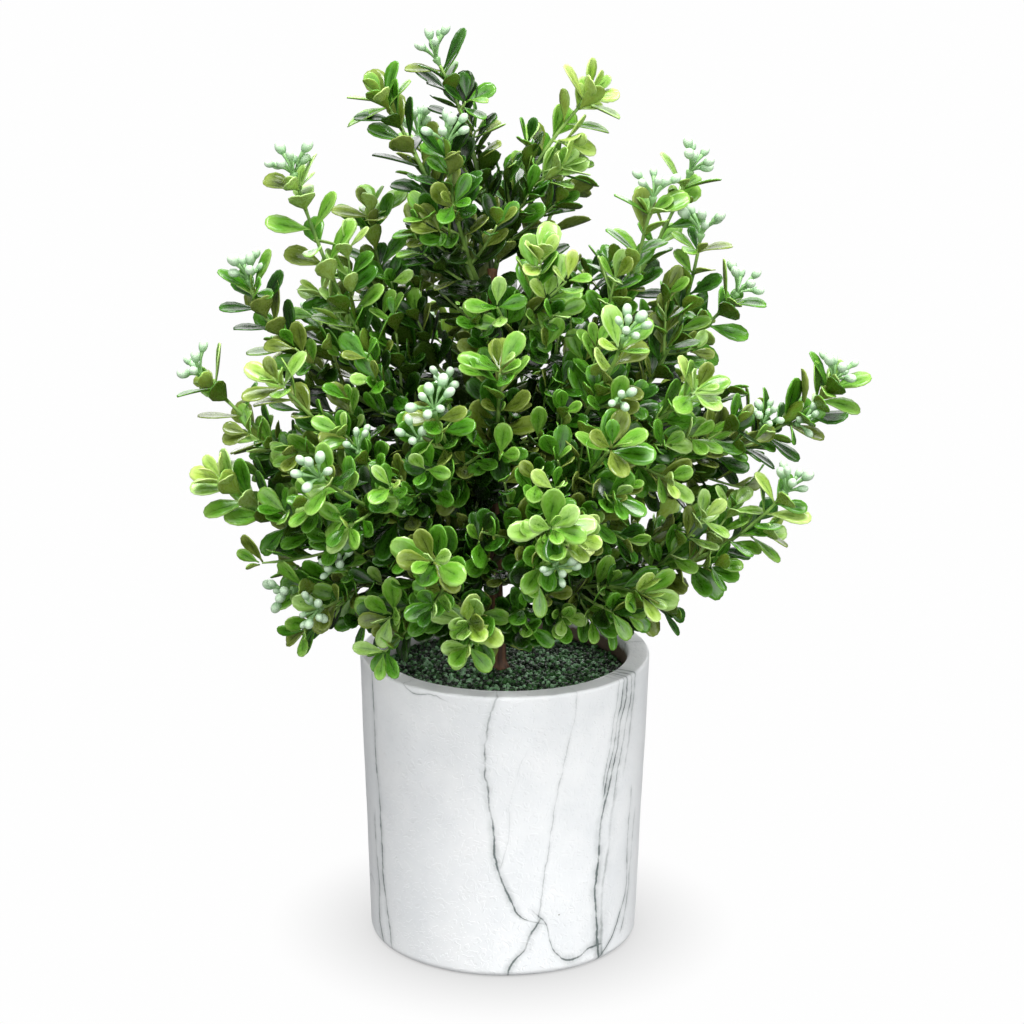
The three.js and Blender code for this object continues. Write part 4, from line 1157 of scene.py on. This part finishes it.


# Each green: its body, its midrib and painted fold shade, its pale edge and tip (partly painted
# highlight), its underside, and its slot.
LEAF_GREENS = {
    "deep": ("0c2600", "041200", "2a500e", "3a5414", "leaves_dark"),
    "dark": ("184400", "082000", "427a1c", "52661e", "leaves_dark"),
    "mid": ("357008", "163a00", "6ca636", "6e842c", "leaves_mid"),
    "bright": ("5c9622", "2e5a10", "98c05c", "869c40", "leaves_mid"),
    "fresh": ("7caa3a", "406e16", "bada8c", "94ae50", "leaves_fresh"),
    "lime": ("94b842", "5c8424", "c6de8c", "a4c056", "leaves_lime"),
    "yellow": ("a2be4a", "6c8a28", "cede92", "b0c462", "leaves_lime"),
    "olive": ("546a18", "324210", "94a850", "6e7e38", "leaves_olive"),
}
leaf_rng = np.random.default_rng(77)
for level, green in enumerate(GREENS):
    body, rib_and_fold_shade, pale, under, finish = LEAF_GREENS[green]
    # Dyed polyethylene, moulded and left as it came: waxy, broad soft highlights. The pattern is
    # drawn on each leaf's own tile: dark along the fold, partly the midrib and partly painted shade,
    # and palest at the thin edge, the tip and the foot, partly paler plastic and partly painted
    # highlight.
    blade = empty_material(f"waxy_polyethylene_leaf_{green}")
    tile_map = node(blade, "UVMap", uv_map="OFBake")
    on_map = node(blade, "SeparateXYZ", {0: tile_map}).outputs
    in_tile = []
    for i in (0, 1):
        tiles_on = node(blade, "Math", {0: on_map[i], 1: TILES}, operation="MULTIPLY")
        in_tile.append(node(blade, "Math", {0: tiles_on}, operation="FRACT"))
    is_lower = node(blade, "Math", {0: on_map[1], 1: 1 / TILES}, operation="LESS_THAN")
    off_rib = node(blade, "Math", {0: in_tile[0], 1: 0.5}, operation="SUBTRACT")
    off_rib = node(blade, "Math", {0: off_rib}, operation="ABSOLUTE")
    streaks = node(blade, "TexNoise", {"Vector": tile_map, "Scale": 30, "Detail": 3, "Roughness": 0.6},
                   noise_dimensions="2D")
    blotch = node(blade, "TexNoise", {"Vector": tile_map, "Scale": 9, "Detail": 2},
                  noise_dimensions="2D")
    ragged = node(blade, "Math", {0: streaks, 1: 0.12, 2: off_rib}, operation="MULTIPLY_ADD")
    # Thin line: partly the midrib's own colour, partly painted shade. Broad smudge: painted shade of
    # the fold.
    rib = node(blade, "MapRange", {0: ragged, 1: 0.088, 2: 0.06}, interpolation_type="SMOOTHSTEP")
    painted_fold_shade = node(blade, "MapRange", {0: ragged, 1: 0.3, 2: 0.06, 3: 0, 4: 0.5},
                  interpolation_type="SMOOTHSTEP")
    mid_start = node(blade, "MapRange", {0: in_tile[1], 1: 0.08, 2: 0.4})
    mid_end = node(blade, "MapRange", {0: in_tile[1], 1: 0.88, 2: 0.55})
    mid = node(blade, "Math", {0: mid_start, 1: mid_end}, operation="MULTIPLY")
    dark = node(blade, "Math", {0: painted_fold_shade, 1: mid}, operation="MULTIPLY")
    rib_part = node(blade, "Math", {0: rib, 1: mid_end}, operation="MULTIPLY")
    dark = node(blade, "Math", {0: rib_part, 1: 0.6, 2: dark}, operation="MULTIPLY_ADD", use_clamp=True)
    blotched = node(blade, "MapRange", {0: blotch, 1: 0.38, 2: 0.62, 3: 0.0, 4: 0.32})
    mottled = node(blade, "Mix", {0: blotched, 6: linear(body), 7: linear(pale)},
                   data_type="RGBA").outputs[2]
    fold_shaded_colour = node(blade, "Mix", {0: dark, 6: mottled, 7: linear(rib_and_fold_shade)},
                  data_type="RGBA").outputs[2]
    # Paler at the thin edge, the tip and the foot: partly paler plastic, partly painted highlight.
    rim = node(blade, "MapRange", {0: off_rib, 1: 0.32, 2: 0.44, 3: 0, 4: 0.8})
    tip = node(blade, "MapRange", {0: in_tile[1], 1: 0.7, 2: 0.95, 3: 0, 4: 0.6})
    foot = node(blade, "MapRange", {0: in_tile[1], 1: 0.22, 2: 0.06, 3: 0, 4: 0.6})
    light = node(blade, "Math", {0: rim, 1: tip}, operation="MAXIMUM")
    light = node(blade, "Math", {0: light, 1: foot}, operation="MAXIMUM")
    pale_edged_highlit = node(blade, "Mix", {0: light, 6: fold_shaded_colour, 7: linear(pale)},
                 data_type="RGBA").outputs[2]
    lower = node(blade, "Mix", {0: blotched, 6: linear(under), 7: linear(pale)},
                 data_type="RGBA").outputs[2]
    leaf_colour = node(blade, "Mix", {0: is_lower, 6: pale_edged_highlit, 7: lower},
                       data_type="RGBA").outputs[2]
    leaf_gloss = node(blade, "MapRange", {0: streaks, 1: 0.3, 2: 0.7, 3: 0.22, 4: 0.34})
    leaf_bump = node(blade, "Bump", {"Strength": 0.18, "Distance": 0.0002, "Height": streaks})
    blade_shader = node(blade, "BsdfPrincipled", {
        "Base Color": leaf_colour, "Roughness": leaf_gloss, "IOR": 1.48, "Normal": leaf_bump})
    node(blade, "OutputMaterial", {"Surface": blade_shader})
    own = [row for row in leaves if row[7] == level]
    if not own:
        continue
    part, corners = leaf_batch(own, leaf_rng)
    piece = joined(f"leaves_{green}", [part], blade, [corners])
    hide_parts(*foliage_nodes)
    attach(piece, "root")


# Buds: tight clusters of closed buds on short stalks that spring from a little green cup at the
# end of a stem, moulded in pale plastic.
BUD_RADIUS = 1.9
BUD_HALF_LENGTH = 2.7
BUD_SPACING = 4.2
BUD_TRIES = 70
BUD_SEAT = 0.72
STALK_LENGTHS = (4, 9.4)
STALK_SPREAD = 0.95
STALK_RADII = np.array([0.6, 0.48, 0.48, 0.62, 1.0])
CUP_HEIGHTS = np.array([0, 1.2, 2.4, 3.4])
CUP_RADII = np.array([0.6, 0.9, 1.5, 1.7])
CUP_MOUTH = 3.1
CUP_SINK = 1.2
bud_rng = np.random.default_rng(5)
stalks, cups, heads = [], [], []


def bud_cluster(tip, heading, count, size):
    """A cup, and stalks that open from it far enough for their buds not to touch."""
    base = tip - heading * CUP_SINK
    rise = CUP_HEIGHTS * size
    cups.append(tube(base + heading * rise[:, None], CUP_RADII * size, 9))
    mouth = base + heading * CUP_MOUTH * size
    placed = []
    for _ in range(BUD_TRIES):
        if len(placed) == count:
            break
        spread = math.sqrt(bud_rng.random()) * STALK_SPREAD
        turn = bud_rng.uniform(0, 2 * math.pi)
        way = aim(heading, turn, spread)[1]
        reach = bud_rng.uniform(*STALK_LENGTHS) * size
        middle = mouth + (heading * 0.5 + way * 0.5) * reach * 0.5
        end = mouth + way * reach + np.array([0, 0, reach * 0.12])
        if any(np.linalg.norm(end - other) < BUD_SPACING * size for other in placed):
            continue
        placed.append(end)
        corners = (mouth - heading * 0.8, middle, end)
        shares = np.linspace(0, 1, len(STALK_RADII))
        stalks.append(tube(bend_point(corners, shares), STALK_RADII * size, 6))
        lean = bend_heading(corners, 1.0)
        across, over = axes_across(lean)
        grow = size * bud_rng.uniform(0.82, 1.12)
        slim = bud_rng.uniform(0.88, 1.05)
        heads.append((np.array([across * slim, over * slim, lean]) * grow,
                      end + lean * BUD_HALF_LENGTH * BUD_SEAT * grow))


for tip, heading, count, size in bud_tips:
    bud_cluster(tip, heading, count, size)

# An egg a little fuller above than below. Its map goes round it over part of the map's width.
EGG_FULLNESS = 0.12
EGG_MAP_WIDTH = 0.7
EGG_MAP_LEFT = 0.15
bud_shape = ball(12, 9, BUD_RADIUS, BUD_HALF_LENGTH)
egg = bud_shape[0]
egg[:, :2] *= (1 + EGG_FULLNESS * egg[:, 2:] / BUD_HALF_LENGTH)
bud_part = copies(bud_shape, *(np.array(column) for column in zip(*heads)))
egg_turn = (np.arctan2(egg[:, 1], egg[:, 0]) / (2 * math.pi)) % 1
egg_map = np.stack([
    EGG_MAP_LEFT + EGG_MAP_WIDTH * egg_turn,
    0.5 + 0.48 * egg[:, 2] / BUD_HALF_LENGTH,
], 1)


def bud_map(faces):
    """Each corner's place: round the bud across the map, and from stalk to tip up it."""
    places = egg_map[faces].copy()
    for corner in range(faces.shape[1]):
        gap = places[:, corner, 0] - places[:, 0, 0]
        places[:, corner, 0] -= np.round(gap / EGG_MAP_WIDTH) * EGG_MAP_WIDTH
    return np.tile(places.reshape(-1, 2), (len(heads), 1))


bud_corners = (bud_map(bud_shape[1]), bud_map(bud_shape[2]))
# Pale mint polyethylene, as waxy as the leaves: greener at the stalk and paler at the tip, partly
# its own colour and partly painted light on the tip and painted shade at the stalk.
bud_plastic = empty_material("mint_polyethylene_bud")
bud_on_map = node(bud_plastic, "UVMap", uv_map="OFBake")
bud_height = node(bud_plastic, "SeparateXYZ", {0: bud_on_map}).outputs[1]
bud_mottle = node(bud_plastic, "TexNoise", {"Vector": bud_on_map, "Scale": 7, "Detail": 2},
                  noise_dimensions="2D")
bud_shift = node(bud_plastic, "Math", {0: bud_mottle, 1: 0.35, 2: bud_height},
                 operation="MULTIPLY_ADD")
bud_tip_light_share = node(bud_plastic, "MapRange", {0: bud_shift, 1: 0.3, 2: 0.85})
bud_colour = node(bud_plastic, "Mix", {0: bud_tip_light_share, 6: linear("80aa78"), 7: linear("c2dcbc")},
                  data_type="RGBA").outputs[2]
bud_shader = node(bud_plastic, "BsdfPrincipled", {
    "Base Color": bud_colour, "Roughness": 0.3, "IOR": 1.48})
node(bud_plastic, "OutputMaterial", {"Surface": bud_shader})
buds = joined("buds", [bud_part], bud_plastic, [bud_corners])

# The cups and stalks are the same plastic in the pale green of new growth.
stalk_plastic = dyed_plastic(
    "pale_green_polyethylene_stalk", 300, 2, "6a9650", "98c288", 0.42, 1.48)
stalk_piece = joined("bud_stalks", stalks + cups, stalk_plastic)
for piece, finish in ((buds, "leaves_lime"), (stalk_piece, "leaves_fresh")):
    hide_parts(*[f"foliage_{row[0]}" for row in SPRAYS if row[7] == "buds"])
    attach(piece, "root")


# Studio: a white light table that runs out of sight, with a painted shadow close round the pot, a
# sky dome that is darker from below, a soft key from above and soft fills from all sides. The table
# lets the lamps' light through from below, as glass does.
FLOOR_HALF = 40
TABLE_SHADE_REACH = 0.045
TABLE_LIGHT = 0.992
TABLE_SHADE = 0.5
floor_mesh = bpy.data.meshes.new("floor")
floor_mesh.from_pydata(
    [(x * FLOOR_HALF, y * FLOOR_HALF, 0) for x, y in ((-1, -1), (1, -1), (1, 1), (-1, 1))],
    [], [(0, 1, 2, 3)])
floor = bpy.data.objects.new("floor", floor_mesh)
bpy.context.collection.objects.link(floor)
floor.visible_diffuse = False
floor.visible_glossy = False
floor.visible_shadow = False
table = empty_material("light_table_glass")
# Painted shadow: the table's glow is dimmed where the pot closes in round it.
table_open = node(table, "AmbientOcclusion", {"Distance": TABLE_SHADE_REACH}, samples=16).outputs["AO"]
table_glow_painted_shadow = node(table, "MapRange", {0: table_open, 3: TABLE_SHADE, 4: TABLE_LIGHT})
node(table, "OutputMaterial", {"Surface": node(table, "Emission", {"Strength": table_glow_painted_shadow})})
floor_mesh.materials.append(table)

# The sky dome's strength, at and below the low height and at and above the high one, as shares of
# the way from the level up to the zenith.
DOME_BELOW = 0.064
DOME_ABOVE = 0.256
DOME_LOW = -0.35
DOME_HIGH = 0.75
studio = bpy.data.worlds.new("studio")
bpy.context.scene.world = studio
studio.use_nodes = True
studio.node_tree.nodes.clear()
height = node(studio, "SeparateXYZ", {0: node(studio, "TexCoord").outputs["Generated"]}).outputs[2]
rise = node(studio, "MapRange", {0: height, 1: DOME_LOW, 2: DOME_HIGH, 3: DOME_BELOW, 4: DOME_ABOVE})
# Past the table's edge the eye meets a white backdrop, which adds no light of its own.
seen = node(studio, "LightPath").outputs["Is Camera Ray"]
backdrop = node(studio, "Math", {0: rise, 1: seen}, operation="MAXIMUM")
dome = node(studio, "Background", {"Color": linear("ffffff"), "Strength": backdrop})
node(studio, "OutputWorld", {"Surface": dome})


def sun(name, strength, spread, tilt, turn):
    """A distant soft lamp, tilt degrees off straight down, from turn degrees round from the front."""
    lamp = bpy.data.lights.new(name, "SUN")
    lamp.energy = strength
    lamp.angle = math.radians(spread)
    holder = bpy.data.objects.new(name, lamp)
    holder.rotation_euler = (math.radians(tilt), 0, math.radians(turn))
    bpy.context.collection.objects.link(holder)


# Each lamp: its strength, how many degrees across it looks, and where its light comes from.
sun("key", 5.25, 30, 10, 8)
sun("right", 1.72, 45, 76, 62)
sun("left", 1.1, 45, 74, -58)
sun("front", 1.42, 60, 82, 0)
sun("back", 2.6, 60, 66, 180)

scene = bpy.context.scene
scene.view_settings.view_transform = "Standard"
scene.view_settings.look = "None"
